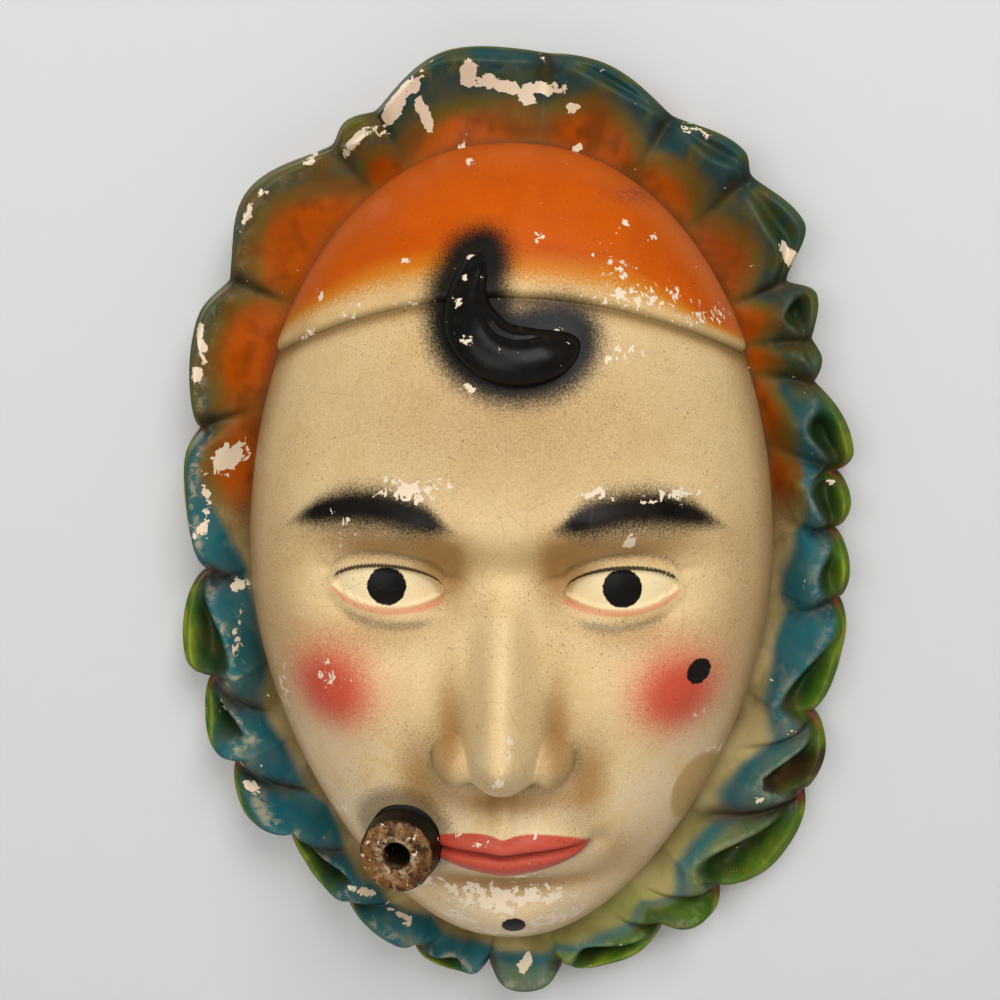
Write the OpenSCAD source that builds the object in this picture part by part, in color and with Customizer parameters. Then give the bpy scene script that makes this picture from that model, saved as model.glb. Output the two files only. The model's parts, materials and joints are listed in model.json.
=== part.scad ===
// Painted plaster wall mask: a hollow face in a frilled ruff, with a cap, a forelock, a bored cigar stub
// and a wire ring on a strap to hang it by.
// The wall is the plane y = 0 and the face looks along -Y. The origin is on the wall, at the nail that
// carries the ring when it is swung up.

/* [Face] */
// Width of the face
face_w = 132; // [110:1:150]
// Height of the face, from the chin to the crown
face_h = 202; // [180:1:230]
// Share of the width that the jaw loses at the chin
jaw = 0.2; // [0.05:0.01:0.3]
// Height of the face's straight edge above the wall
edge_depth = 13; // [12:0.5:16]
// Rise of the face's dome above its straight edge
dome_rise = 46; // [42:1:56]
// Thickness of the plaster at the back rim
wall = 8; // [6:0.5:11]
// Depth of the hollow behind the face
hollow_depth = 46; // [38:1:48]

/* [Features] */
// Height of the eyes above the middle of the face
eye_z = 0; // [-4:1:4]
// Distance of each eye from the middle line
eye_x = 27; // [24:1:30]
// Height of the brows above the middle of the face
brow_z = 15; // [12:1:18]
// Distance of the nose's base below the middle of the face
nose_base = 43; // [38:1:46]
// Height of the nose's tip above the dome
nose_rise = 23; // [16:1:28]
// Distance of the mouth's line below the middle of the face
mouth_drop = 61; // [57:1:64]
// Half the width of the mouth
mouth_half = 22; // [18:1:26]
// Distance of the chin below the middle of the face
chin_drop = 87; // [84:1:92]

/* [Cap and forelock] */
// Distance of the cap's brim below the top of the face
brim_drop = 34.5; // [28:0.5:46]
// How far the brim comes down at the sides
brim_fall = 20; // [10:1:28]
// Thickness of the cap
cap_wall = 1.3; // [1:0.1:2.5]
// Radius of the forelock's curl
curl_r = 9.5; // [8:0.5:12]
// Distance of the curl's middle below the cap's brim
curl_drop = 2.5; // [-2:0.5:8]
// Distance of the curl's middle to the right of the middle line
curl_x = 2; // [-2:0.5:6]
// Half the width of the forelock at its thickest
curl_half = 6; // [4:0.5:7]
// Height of the forelock above the forehead
curl_rise = 5.5; // [3:0.5:8]
// Depth that the forelock is keyed into the plaster
curl_key = 1; // [0.5:0.1:1.5]

/* [Ruff] */
// Width of the ruff, to which every fold keeps its share
ruff_w = 20; // [16:1:26]
// Height of the ruff's inner edge above the wall
ruff_seat = 10; // [8:0.5:11]
// Height of the ruff's crest above the wall
ruff_crest = 21; // [17:1:26]
// Share of its width that a fold's pocket may take from the crest's place
pocket_reach = 1; // [0:0.1:1.2]
// Gap between the ruff and the face
ruff_gap = 0.25; // [0.1:0.05:0.5]

/* [Cigar stub] */
// Diameter of the stub
stub_d = 18.5; // [15:0.5:20]
// Diameter of the stub at its free end
stub_end_d = 17.5; // [14:0.5:20]
// Length of the stub outside the face
stub_len = 12; // [9:0.5:18]
// Depth of the stub's socket in the face
stub_seat = 7; // [5:0.5:8]
// Diameter of the bore in the stub's end
bore_d = 6.5; // [4:0.5:8]
// Depth of the bore
bore_len = 14; // [8:0.5:15]
// Turn of the stub to the side, in degrees
stub_turn = 8; // [0:1:15]
// Gap round the stub in its socket
stub_gap = 0.05; // [0.02:0.01:0.15]

/* [Hanger] */
// Distance of the nail below the top of the face
nail_drop = 21; // [18:1:27]
// Diameter of the ring's wire
ring_wire = 1.8; // [1.4:0.1:2.4]
// Width of the ring between the middles of its legs
ring_w = 18; // [15:1:22]
// Height of the ring, from its bar to its bow
ring_h = 16; // [14:1:20]
// Radius of the ring's corners
ring_corner = 3; // [2.5:0.5:4]
// Depth of the ring's bar behind the wall's plane
pivot_depth = 7; // [5:0.5:9]
// Gap round the ring's bar in the strap's eye
eye_gap = 0.06; // [0.03:0.01:0.1]
// Thickness of the strap's strip
strip_t = 0.8; // [0.6:0.1:1]
// Width of the strap
strap_w = 8; // [6:1:10]
// Length of the strap's tails in the plaster dab
strap_len = 14; // [10:1:16]
// Radius of the plaster dab that holds the strap
dab_r = 18; // [15:1:22]
// Gap between the strap's eye and the dab's face
dab_gap = 0.5; // [0.3:0.1:1]

/* [Hidden] */

// Heights above the middle of the face, in the face's plane
nail_z = face_h / 2 - nail_drop;
brim_z = face_h / 2 - brim_drop;
curl_z = brim_z - curl_drop;
// The face's modelling is written for a face that is 132 wide, and grows with it
grow = face_w / 132;
// The dome's rings: to the brim, and from the brim to the edge
rings_mid = 20;
rings_edge = 7;
rings_hollow = 9;
rays_cap = 28;
rays_low = 40;
steps_rise = 3;
steps_fall = 4;
// The dome's rings change their spacing at this share of the radius where no brim crosses it
split = 0.93;
// The brim runs out this close to the dome's edge
brim_run_out = 0.985;
dome_power = 2.4;
dome_round = 0.55;

// The ruff's folds, right round from the right: the angle of the notch that a fold starts at and the ruff's
// width there, the angle of its tip and the width there, both as shares of ruff_w, then its pocket's angle,
// half width in degrees and depth, and the share of the width at which its crest runs past the pocket
folds = [
    [-20.4, 0.86, -10, 1.03, -15, 5, 0.5, 0.45],
    [-5, 0.83, -1.5, 0.94, -2, 3, 0.5, 0.5],
    [3.7, 0.72, 7.7, 0.95, 7.5, 3.5, 0.75, 0.45],
    [11.2, 0.8, 13.7, 1.03, 14.5, 3.5, 0.75, 0.5],
    [23.6, 0.71, 26.9, 0.85, 27, 2, 0.2, 0.75],
    [29.4, 0.81, 34.8, 1.03, 34, 3, 0.1, 0.8],
    [37.9, 0.77, 44, 1.25, 45, 6, 0.35, 0.62],
    [53, 1.05, 56, 1.15, 58, 4, 0.25, 0.7],
    [66.7, 0.92, 79, 1.11, 76, 6, 0.15, 0.8],
    [85.5, 1.02, 97, 1.17, 92, 6, 0.1, 0.85],
    [110, 0.82, 114.2, 0.9, 114, 3, 0.3, 0.7],
    [118, 0.8, 131, 1.17, 130, 8, 0, 0.85],
    [142.3, 0.89, 149, 1.07, 150, 8, 0, 0.85],
    [163.2, 0.75, 168, 0.88, 170, 6, 0, 0.8],
    [182.5, 0.55, 193, 1.07, 190, 5, 0.8, 0.4],
    [196.6, 0.78, 205, 1.13, 201, 3, 0.6, 0.5],
    [208.4, 0.87, 214.5, 1.12, 214, 5, 0.1, 0.7],
    [221, 0.68, 227, 0.84, 226, 4, 0.7, 0.4],
    [236, 0.75, 241, 0.8, 242, 5, 0.2, 0.65],
    [250.9, 0.61, 257, 0.77, 257, 4, 0.7, 0.45],
    [266.1, 0.49, 273, 0.8, 272, 5, 0, 0.8],
    [280.2, 0.5, 293, 0.9, 290, 6, 0.8, 0.4],
    [300.8, 0.74, 307, 1.16, 306, 4, 0.1, 0.8],
    [310.6, 0.94, 323, 1.41, 321, 6, 0.8, 0.42],
    [329.4, 1.19, 334, 1.25, 334.5, 4, 0.3, 0.6]
];
full_turn = folds[0][0] + 360;

// ---- plane shapes of the face ----

function step01(t) = let (u = max(0, min(1, t))) u * u * (3 - 2 * u);

// A point of the face's outline at angle a, and the outward direction there
function outline(a) = [
    face_w / 2 * sign(cos(a)) * pow(abs(cos(a)), 0.92) * (1 - jaw * pow(max(0, -sin(a)), 1.6)),
    face_h / 2 * sin(a)
];
function outward(a) = let (d = outline(a + 0.5) - outline(a - 0.5)) [d[1], -d[0]] / norm(d);

// Height of the plain dome at share r of its radius
function dome(r) = edge_depth + dome_rise * pow(max(0, 1 - pow(r, dome_power)), dome_round);

// Features that stand out of the dome or sink into it, the same on both sides
function ridge(gap, wide, power) = exp(-pow(abs(gap) / (wide * grow), power));
function bump(x, z, at_x, at_z, wide, tall) = ridge(x - at_x, wide, 2) * ridge(z - at_z, tall, 2);

function nose(x, z) =
    let (along = max(0, min(1, (eye_z + 8 * grow - z) / (nose_base + eye_z + 4 * grow))))
    nose_rise * pow(along, 1.25) * ridge(x, 5 + 4 * along, 2.2)
        * step01((z + nose_base + 5 * grow) / (8 * grow))
    + 8 * grow * bump(abs(x), z, 11.5 * grow, 5 * grow - nose_base, 5, 6);

function mouth(x, z) =
    let (
        line = 1.2 * grow * pow(x / mouth_half, 2) - mouth_drop,
        across = grow * max(0, 1 - pow(x / mouth_half, 2))
    )
    6 * grow * bump(x, z, 0, grow - mouth_drop, 27, 17)
    + 2.6 * across * ridge(z - line - 3.4 * grow, 2.6, 2)
    + 3.2 * across * ridge(z - line + 4 * grow, 3.2, 2)
    - 1.6 * across * ridge(z - line, 1.2, 2);

function relief(x, z) =
    nose(x, z) + mouth(x, z) + grow * (
        3 * bump(x, z, 0, 40 * grow, 44, 26)
        + 3.5 * bump(abs(x), z, eye_x - 3 * grow, brow_z, 20, 6.5)
        - 9 * bump(abs(x), z, eye_x, eye_z + grow, 15, 10)
        + 5 * bump(abs(x), z, eye_x, eye_z, 12, 7)
        + 5.5 * bump(abs(x), z, 34 * grow, -22 * grow, 18, 19)
        - 3 * bump(x, z, 0, -mouth_drop - 13 * grow, 20, 5)
        + 5.5 * bump(x, z, 0, -chin_drop, 17, 11)
    );

// Depth of the face's front at share r along the ray at angle a
function front_depth(a, r) = let (p = outline(a) * r) dome(r) + relief(p[0], p[1]) * (1 - pow(r, 12));

// Depth of the face's front over the point p
function head_depth(p) =
    let (a = atan2(p[1] / face_h, p[0] / face_w), r = norm(p) / norm(outline(a)))
    dome(r) + relief(p[0], p[1]) * (1 - pow(r, 12));

// Share of the radius at which the ray at angle a crosses the brim
function brim_share(a) =
    let (
        p = outline(a),
        fall = max(1e-6, brim_fall * pow(p[0] / (face_w / 2), 2))
    )
    (-p[1] + sqrt(p[1] * p[1] + 4 * fall * brim_z)) / (2 * fall);

// The angle between low and high at which the brim runs out, halved n times
function run_out_angle(low, high, n) =
    let (middle = (low + high) / 2)
    n == 0 ? middle
    : brim_share(middle) > brim_run_out ? run_out_angle(middle, high, n - 1)
    : run_out_angle(low, middle, n - 1);
brim_end = run_out_angle(5, 60, 16);

// A point in the part's frame, from its place in the face's plane and its depth
function at(p, depth) = [p[0], -depth, p[1] - nail_z];

// ---- rings of points and the skins between them ----

cap_rays = [for (i = [0:rays_cap]) brim_end + (180 - 2 * brim_end) * i / rays_cap];
low_rays = [for (i = [1:rays_low - 1]) 180 - brim_end + (180 + 2 * brim_end) * i / rays_low];
face_rays = concat(cap_rays, low_rays);
ray_count = len(face_rays);

function ray_split(i) = i <= rays_cap ? min(brim_run_out, brim_share(face_rays[i])) : split;
function ring_share(i, k) =
    k <= rings_mid
        ? ray_split(i) * (1 - pow(1 - k / rings_mid, 1.15))
        : ray_split(i) + (1 - ray_split(i)) * sin(90 * (k - rings_mid) / rings_edge);

// Faces between rings of n points; loop joins the last ring to the first, and crossed turns the diagonals
function skin(n, rings, loop = false, crossed = false) = [
    for (j = [0:rings - (loop ? 1 : 2)])
    for (i = [0:n - 1])
    let (
        a = j * n + i,
        b = j * n + (i + 1) % n,
        c = ((j + 1) % rings) * n + (i + 1) % n,
        d = ((j + 1) % rings) * n + i
    )
    each crossed ? [[a, b, d], [b, c, d]] : [[a, b, c], [a, c, d]]
];
function fan(n, start, centre, turned) = [
    for (i = [0:n - 1])
    let (a = start + i, b = start + (i + 1) % n)
    turned ? [a, centre, b] : [a, b, centre]
];

// A solid of rings that ends in one point at each end
module closed_rings(first, rings, last, crossed = false) {
    n = len(rings[0]);
    points = concat([for (r = rings) each r], [first, last]);
    polyhedron(
        points = points,
        faces = concat(
            skin(n, len(rings), crossed = crossed),
            fan(n, 0, n * len(rings), true),
            fan(n, n * (len(rings) - 1), n * len(rings) + 1, false)
        ),
        convexity = 8
    );
}

// ---- face ----

function front_ring(k) = [
    for (i = [0:ray_count - 1])
    let (a = face_rays[i], r = ring_share(i, k))
    at(outline(a) * r, front_depth(a, r))
];

function hollow_height(r) = hollow_depth * pow(max(0, 1 - pow(r, 2.2)), dome_round);
function hollow_ring(r) = [for (a = face_rays) at((outline(a) - wall * outward(a)) * r, hollow_height(r))];
hollow_rings = [for (k = [0:rings_hollow]) hollow_ring(cos(90 * k / (rings_hollow + 1)))];

// The space behind the face, from the wall to the back of the plaster
module hollow_space() {
    rings = [for (k = [rings_hollow:-1:0]) hollow_rings[k]];
    closed_rings(at([0, 0], hollow_depth), rings, at([0, 0], 0), crossed = true);
}

// Where the stub leaves the face, at the corner of the mouth, and the direction it points in
stub_foot = [-mouth_half - grow, -mouth_drop];
module stub_place() {
    translate(at(stub_foot, head_depth(stub_foot))) rotate([90, 0, -stub_turn]) children();
}

module face_shell() {
    rings = concat(
        [for (k = [1:rings_mid + rings_edge]) front_ring(k)],
        [[for (a = face_rays) at(outline(a), 0)]],
        hollow_rings
    );
    color([0.87, 0.79, 0.62])
    difference() {
        closed_rings(at([0, 0], front_depth(0, 0)), rings, at([0, 0], hollow_depth));
        stub_place()
            translate([0, 0, -stub_seat]) cylinder(d = stub_d + 2 * stub_gap, h = 3 * stub_seat, $fn = 64);
    }
}

// ---- cap and forelock ----

// The cap lies on the face's own points and has its thickness along the dome's outward direction
function cap_point(i, k, lift) =
    let (a = face_rays[i], r = ring_share(i, k), grown = outline(a) + lift * outward(a))
    at(grown * r, front_depth(a, r) + lift);

module skull_cap() {
    cols = rays_cap + 1;
    rows = rings_edge + 1;
    under = [for (k = [0:rows - 1]) for (i = [0:cols - 1]) cap_point(i, rings_mid + k, 0)];
    over = [for (k = [0:rows - 1]) for (i = [0:cols - 1]) cap_point(i, rings_mid + k, cap_wall)];
    size = cols * rows;
    sheets = [
        for (k = [0:rows - 2])
        for (i = [0:cols - 2])
        let (a = k * cols + i, b = a + 1, c = a + cols + 1, d = a + cols)
        each [[a, c, b], [a, d, c], [size + a, size + b, size + c], [size + a, size + c, size + d]]
    ];
    border = concat(
        [for (i = [0:cols - 1]) i],
        [for (k = [1:rows - 1]) k * cols + cols - 1],
        [for (i = [1:cols - 1]) (rows - 1) * cols + cols - 1 - i],
        [for (k = [1:rows - 2]) (rows - 1 - k) * cols]
    );
    edge = [
        for (j = [0:len(border) - 1])
        let (a = border[j], b = border[(j + 1) % len(border)])
        each [[a, b, size + b], [a, size + b, size + a]]
    ];
    color([0.86, 0.4, 0.08])
    polyhedron(points = concat(under, over), faces = concat(sheets, edge), convexity = 8);
}

// The forelock is a comma: it hooks down from its top on the left, round the bottom, to its tip on the right
curl_from = 122;
curl_to = 352;
curl_steps = 26;
curl_sides = 12;
function curl_spread(t) = curl_r * (1 + 0.45 * pow(abs(2 * t - 1), 3));
function curl_angle(t) = curl_from + (curl_to - curl_from) * t;
function curl_middle(t) =
    let (a = curl_angle(t))
    [curl_spread(t) * cos(a) + curl_x, curl_z + curl_spread(t) * sin(a)];
function curl_width(t) = curl_half * (0.22 + 0.78 * pow(sin(180 * pow(t, 0.85)), 0.75));
function curl_point(t, side) =
    let (
        w = curl_width(t),
        p = curl_middle(t) + w * cos(side) * [cos(curl_angle(t)), sin(curl_angle(t))],
        lift = (side < 180 ? curl_rise * w / curl_half : curl_key) * sin(side)
    )
    at(p, head_depth(p) + lift);

module forelock() {
    rings = [
        for (k = [0:curl_steps])
        [for (j = [0:curl_sides - 1]) curl_point(k / curl_steps, 360 * j / curl_sides)]
    ];
    first = at(curl_middle(0), head_depth(curl_middle(0)));
    last = at(curl_middle(1), head_depth(curl_middle(1)));
    color([0.06, 0.06, 0.06]) closed_rings(first, rings, last);
}

// ---- ruff ----

function wrapped(a) = a >= full_turn ? a - 360 : a;
function fold_at(a) = max([for (i = [0:len(folds) - 1]) if (wrapped(a) >= folds[i][0]) i]);
function fold_end(i) = i + 1 < len(folds) ? folds[i + 1][0] : full_turn;

// Zero at a fold's notches, one at its tip, round between
function swell(a) =
    let (
        i = fold_at(a),
        b = wrapped(a),
        tip = folds[i][2],
        notch = b < tip ? folds[i][0] : fold_end(i)
    )
    pow(sin(90 * (b - notch) / (tip - notch)), 0.6);

function ruff_width(a) =
    let (
        i = fold_at(a),
        f = folds[i],
        foot = wrapped(a) < f[2] ? f[1] : folds[(i + 1) % len(folds)][1]
    )
    ruff_w * (foot + (f[3] - foot) * swell(a));

// How deep inside its fold's pocket the angle a is, from 0 to 1
function pocket_share(a) = let (f = folds[fold_at(a)]) exp(-pow((wrapped(a) - f[4]) / f[5], 2));
function crest_place(a) =
    let (f = folds[fold_at(a)])
    0.85 - (0.85 - f[7]) * pocket_reach * pocket_share(a);
function crest_height(a) = ruff_crest * (0.78 + 0.22 * swell(a));

// Height of the ruff above the wall at share s of its width
function ruff_height(a, s) =
    let (
        crest = crest_place(a),
        high = crest_height(a),
        out = max(0, min(1, (s - crest) / (1 - crest))),
        rolled = 1 - 0.4 * pow(out, 2.2),
        hole = folds[fold_at(a)][6] * pocket_share(a),
        hollowed = 1 - 0.75 * step01(out / 0.45) + 0.3 * step01((out - 0.6) / 0.35),
        share = rolled + (hollowed - rolled) * min(1, hole * 1.2)
    )
    s < crest
        ? ruff_seat + (high - ruff_seat) * step01((s - 0.12) / (crest - 0.12))
        : high * share;

// Rays at each notch and tip, and between them
ruff_rays = [
    for (i = [0:len(folds) - 1])
    let (start = folds[i][0], tip = folds[i][2], end = fold_end(i))
    each concat(
        [for (k = [0:steps_rise - 1]) start + (tip - start) * k / steps_rise],
        [for (k = [0:steps_fall - 1]) tip + (end - tip) * k / steps_fall]
    )
];
function ruff_place(a, s) = outline(a) + (ruff_gap + (ruff_width(a) - ruff_gap) * s) * outward(a);
function ruff_ring(s) = [for (a = ruff_rays) at(ruff_place(a, s), ruff_height(a, s))];
function ruff_wall_ring(s, spread) = [for (a = ruff_rays) at(ruff_place(a, s) + spread * outward(a), 0)];

// The outer wall spreads a little towards the wall, as a cast piece's draft
draft = 1;
ruff_shares = [0, 0.18, 0.34, 0.48, 0.6, 0.7, 0.79, 0.87, 0.94, 1];

module ruff() {
    rings = concat([for (s = ruff_shares) ruff_ring(s)], [ruff_wall_ring(1, draft), ruff_wall_ring(0, 0)]);
    color([0.1, 0.42, 0.45])
    polyhedron(
        points = [for (r = rings) each r],
        faces = skin(len(ruff_rays), len(rings), true),
        convexity = 10
    );
}

// ---- cigar stub ----

module cigar_stub() {
    rim = 1.2;
    color([0.28, 0.18, 0.1])
    stub_place()
    difference() {
        rotate_extrude($fn = 64) polygon([
            [0, -stub_seat],
            [stub_d / 2, -stub_seat],
            [stub_d / 2, 0],
            [stub_end_d / 2, stub_len - rim],
            [stub_end_d / 2 - rim, stub_len],
            [0, stub_len]
        ]);
        translate([0, 0, stub_len - bore_len]) cylinder(d = bore_d, h = bore_len + 1, $fn = 48);
    }
}

// ---- hanger ----

eye_in = ring_wire / 2 + eye_gap;
eye_out = eye_in + strip_t;
pivot = [0, -pivot_depth, -(ring_h - ring_wire / 2)];

// Outline of the strip folded round the ring's bar, with its tails together
module strap_profile() {
    difference() {
        union() {
            circle(r = eye_out, $fn = 48);
            translate([-strap_len - eye_out, -strip_t]) square([strap_len + eye_out, 2 * strip_t]);
        }
        circle(r = eye_in, $fn = 48);
    }
}

module hanger_strap() {
    color([0.72, 0.56, 0.28])
    translate(pivot) rotate([90, 0, 90])
    translate([0, 0, -strap_w / 2]) linear_extrude(strap_w) strap_profile();
}

// A mound of plaster in the top of the hollow, with the strap's tails in it
module hanger_dab() {
    face_depth = pivot_depth + eye_out + dab_gap;
    flat = 0.55;
    color([0.93, 0.9, 0.84])
    difference() {
        intersection() {
            hollow_space();
            translate([0, -face_depth, pivot[2]]) rotate([90, 0, 0])
            rotate_extrude($fn = 64) polygon(concat(
                [[0, 0]],
                [for (q = [0:15:90]) dab_r * [flat + (1 - flat) * sin(q), (1 - flat) * (1 - cos(q))]],
                [[dab_r, hollow_depth], [0, hollow_depth]]
            ));
        }
        translate([-strap_w / 2, -pivot_depth - eye_out - strap_len, pivot[2] - strip_t])
            cube([strap_w, strap_len + eye_out, 2 * strip_t]);
    }
}

// Wire bent to a quarter turn about the Y direction
module wire_bend(r, turn) {
    rotate([90, 0, 0]) rotate_extrude(angle = turn, $fn = 64) translate([r, 0]) circle(d = ring_wire, $fn = 32);
}

module hanger_ring() {
    half = ring_w / 2;
    leg = ring_h - ring_corner - half;
    color([0.5, 0.5, 0.48])
    translate(pivot) {
        rotate([0, 90, 0]) cylinder(d = ring_wire, h = ring_w - 2 * ring_corner, center = true, $fn = 48);
        for (side = [-1, 1]) {
            translate([side * half, 0, -ring_corner - leg]) cylinder(d = ring_wire, h = leg, $fn = 32);
            translate([side * (half - ring_corner), 0, -ring_corner])
                mirror([side < 0 ? 1 : 0, 0, 0]) wire_bend(ring_corner, 90);
        }
        translate([0, 0, -ring_corner - leg]) rotate([0, 180, 0]) wire_bend(half, 180);
    }
}

face_shell();
skull_cap();
forelock();
ruff();
cigar_stub();
hanger_dab();
hanger_strap();
hanger_ring();
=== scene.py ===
import json
import math

import bpy
import numpy as np
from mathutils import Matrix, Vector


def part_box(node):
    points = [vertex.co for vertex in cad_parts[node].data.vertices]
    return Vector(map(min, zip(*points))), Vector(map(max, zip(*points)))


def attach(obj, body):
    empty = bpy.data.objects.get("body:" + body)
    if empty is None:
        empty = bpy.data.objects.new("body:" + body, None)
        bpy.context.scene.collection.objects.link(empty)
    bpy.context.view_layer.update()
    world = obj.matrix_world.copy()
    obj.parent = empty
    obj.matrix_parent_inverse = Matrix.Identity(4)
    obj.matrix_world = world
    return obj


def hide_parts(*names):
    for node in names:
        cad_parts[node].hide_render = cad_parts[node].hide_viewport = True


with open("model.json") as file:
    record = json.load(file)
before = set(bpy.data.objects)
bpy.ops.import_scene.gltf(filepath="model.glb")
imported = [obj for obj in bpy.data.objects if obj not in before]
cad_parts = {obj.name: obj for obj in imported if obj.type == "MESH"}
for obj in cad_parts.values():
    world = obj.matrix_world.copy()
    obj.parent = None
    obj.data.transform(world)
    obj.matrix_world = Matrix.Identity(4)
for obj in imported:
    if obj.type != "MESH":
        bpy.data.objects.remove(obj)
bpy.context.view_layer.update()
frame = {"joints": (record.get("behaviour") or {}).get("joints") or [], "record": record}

bl_info = {
    "name": "Ruffed Wall Mask",
    "version": (1, 0, 0),
    "blender": (4, 5, 0),
    "location": "View3D > Sidebar > Wall Mask",
    "description": "Builds a painted plaster wall mask round its packed frame",
    "category": "Add Mesh",
}

# Lengths inside the shape functions are millimetres, and meshes are in metres.
MM = 0.001
# Every piece of the casting rides on one body, and the wire ring on the other.
CASTING = "mask"
RING = "ring"

FACE_LOW, FACE_HIGH = (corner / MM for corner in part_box("face_shell"))
STRAP_LOW, STRAP_HIGH = (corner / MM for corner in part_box("hanger_strap"))
RING_LOW, RING_HIGH = (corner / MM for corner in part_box("hanger_ring"))
DAB_LOW, DAB_HIGH = (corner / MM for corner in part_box("hanger_dab"))
FACE_MIDDLE_Z = (FACE_LOW[2] + FACE_HIGH[2]) / 2
SWING = frame["joints"][0]
BORE = next(mount for mount in frame["record"]["mounts"] if mount["name"] == "cigar_bore")


def tone(red, green, blue):
    """A linear colour from a tone given as 0 to 255 on screen."""
    shares = np.array([red, green, blue]) / 255
    linear = np.where(shares <= 0.04045, shares / 12.92, ((shares + 0.055) / 1.055) ** 2.4)
    return tuple(float(part) for part in linear)


# ---- sizes and colours that a user may change ----


def millimetres(name, description, default):
    """A length in millimetres."""
    return bpy.props.FloatProperty(name=name, description=description, default=default, min=0.0)


def colour(name, description, default):
    """A paint's colour."""
    return bpy.props.FloatVectorProperty(
        name=name, description=description, default=default, subtype="COLOR", size=3, min=0.0, max=1.0
    )


class WallMaskSizes(bpy.types.PropertyGroup):
    """Sizes of the casting, in millimetres."""

    edge_depth: millimetres("Edge depth", "Height of the face's straight edge above the wall", 13.0)
    dome_rise: millimetres("Dome rise", "Rise of the face's dome above its edge", 46.0)
    wall: millimetres("Wall", "Thickness of the plaster at the back rim", 8.0)
    hollow_depth: millimetres("Hollow", "Depth of the hollow behind the face", 46.0)
    cap_wall: millimetres("Cap", "Thickness of the cap", 1.1)
    brim_height: millimetres("Brim", "Height of the brim above the middle of the face", 66.5)
    brim_fall: millimetres("Brim fall", "How far the brim comes down at the sides", 20.0)
    curl_radius: millimetres("Curl", "Radius of the forelock's curl", 9.5)
    curl_half: millimetres("Curl width", "Half the width of the forelock at its thickest", 6.0)
    curl_rise: millimetres("Curl rise", "Height of the forelock above the forehead", 5.5)
    ruff_width: millimetres("Ruff", "Width of the ruff, to which every fold keeps its share", 20.0)
    ruff_seat: millimetres("Ruff seat", "Height of the ruff's inner edge above the wall", 10.0)
    ruff_crest: millimetres("Ruff crest", "Height of the ruff's crest above the wall", 21.0)


class WallMaskColours(bpy.types.PropertyGroup):
    """Colours of the paints and the plaster."""

    cream: colour("Cream", "Face paint", tone(231, 202, 152))
    ochre: colour("Ochre", "Sprayed shading in the face's hollows", tone(148, 104, 48))
    orange: colour("Orange", "Cap paint", tone(197, 85, 0))
    # Painted sheen along the cap's outline.
    sheen_salmon: colour("Salmon", "Pale orange of the cap's thin spray", tone(214, 122, 72))
    black: colour("Black", "Brows, pupils and forelock", tone(14, 13, 12))
    rouge: colour("Rouge", "Cheeks", tone(200, 54, 40))
    lips: colour("Lips", "Lips", tone(186, 48, 38))
    teal: colour("Teal", "Crests of the ruff", tone(24, 89, 99))
    green: colour("Green", "Outer folds of the ruff", tone(62, 104, 24))
    # A darker copy of the green: painted shade in the ruff's pockets.
    shaded_green: colour("Deep green", "Pockets of the ruff", tone(24, 48, 20))
    red: colour("Red", "Back edge of the ruff", tone(150, 52, 44))
    plaster: colour("Plaster", "Bare plaster in the chips and the back", tone(232, 212, 184))
    tobacco: colour("Tobacco", "End of the cigar stub", tone(118, 78, 40))
    brass: colour("Brass", "Strap", tone(176, 144, 88))
    steel: colour("Steel", "Ring", tone(150, 148, 142))


# ---- shape functions ----


def clipped(value):
    """The value, or the nearer of 0 and 1 if it lies beyond them."""
    return np.clip(value, 0, 1)


def ease(t):
    """Zero below 0, one above 1, and the smooth cubic between."""
    t = clipped(t)
    return t * t * (3 - 2 * t)


def between(value, low, high):
    """Smooth cubic from 0 at low to 1 at high; high may be the smaller."""
    return ease((value - low) / (high - low))


def sine(turn):
    """Sine of an angle in degrees."""
    return np.sin(np.radians(turn))


def cosine(turn):
    """Cosine of an angle in degrees."""
    return np.cos(np.radians(turn))


def band(gap, wide, power=2):
    """A bell over a line: one where the gap is nothing, and falling off within about wide."""
    return np.exp(-(np.abs(gap / wide) ** power))


def mound(x, z, at_x, at_z, wide, tall):
    """A bell over the plane: one at its middle, falling with the squares of the scaled distances."""
    return np.exp(-(((x - at_x) / wide) ** 2) - ((z - at_z) / tall) ** 2)


def summed(x, z, mounds):
    """The sum of several mounds, each given by its middle, its two widths and its height."""
    total = 0.0
    for at_x, at_z, wide, tall, height in mounds:
        total = total + height * mound(x, z, at_x, at_z, wide, tall)
    return total


def highest(x, z, mounds):
    """The highest of several mounds at each place, or zero."""
    total = np.zeros_like(x)
    for at_x, at_z, wide, tall, height in mounds:
        total = np.maximum(total, height * mound(x, z, at_x, at_z, wide, tall))
    return total


def join_high(a, b, blend):
    """The higher of two surfaces, with a rounded crease that is as wide as blend."""
    share = clipped(0.5 + 0.5 * (a - b) / blend)
    return b + (a - b) * share + blend * share * (1 - share)


def right_round(count):
    """Angles in degrees, evenly round a turn."""
    return np.linspace(0, 360, count, endpoint=False)


def evened(path, gap):
    """The same path with its points about gap apart and its kinks a little rounded."""
    run = np.concatenate([[0], np.cumsum(np.linalg.norm(np.diff(path, axis=0), axis=1))])
    at = np.linspace(0, run[-1], int(run[-1] / gap))
    points = np.stack([np.interp(at, run, path[:, axis]) for axis in range(path.shape[1])], axis=-1)
    for _ in range(3):
        points[1:-1] = points[1:-1] / 2 + (points[:-2] + points[2:]) / 4
    return points


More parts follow.
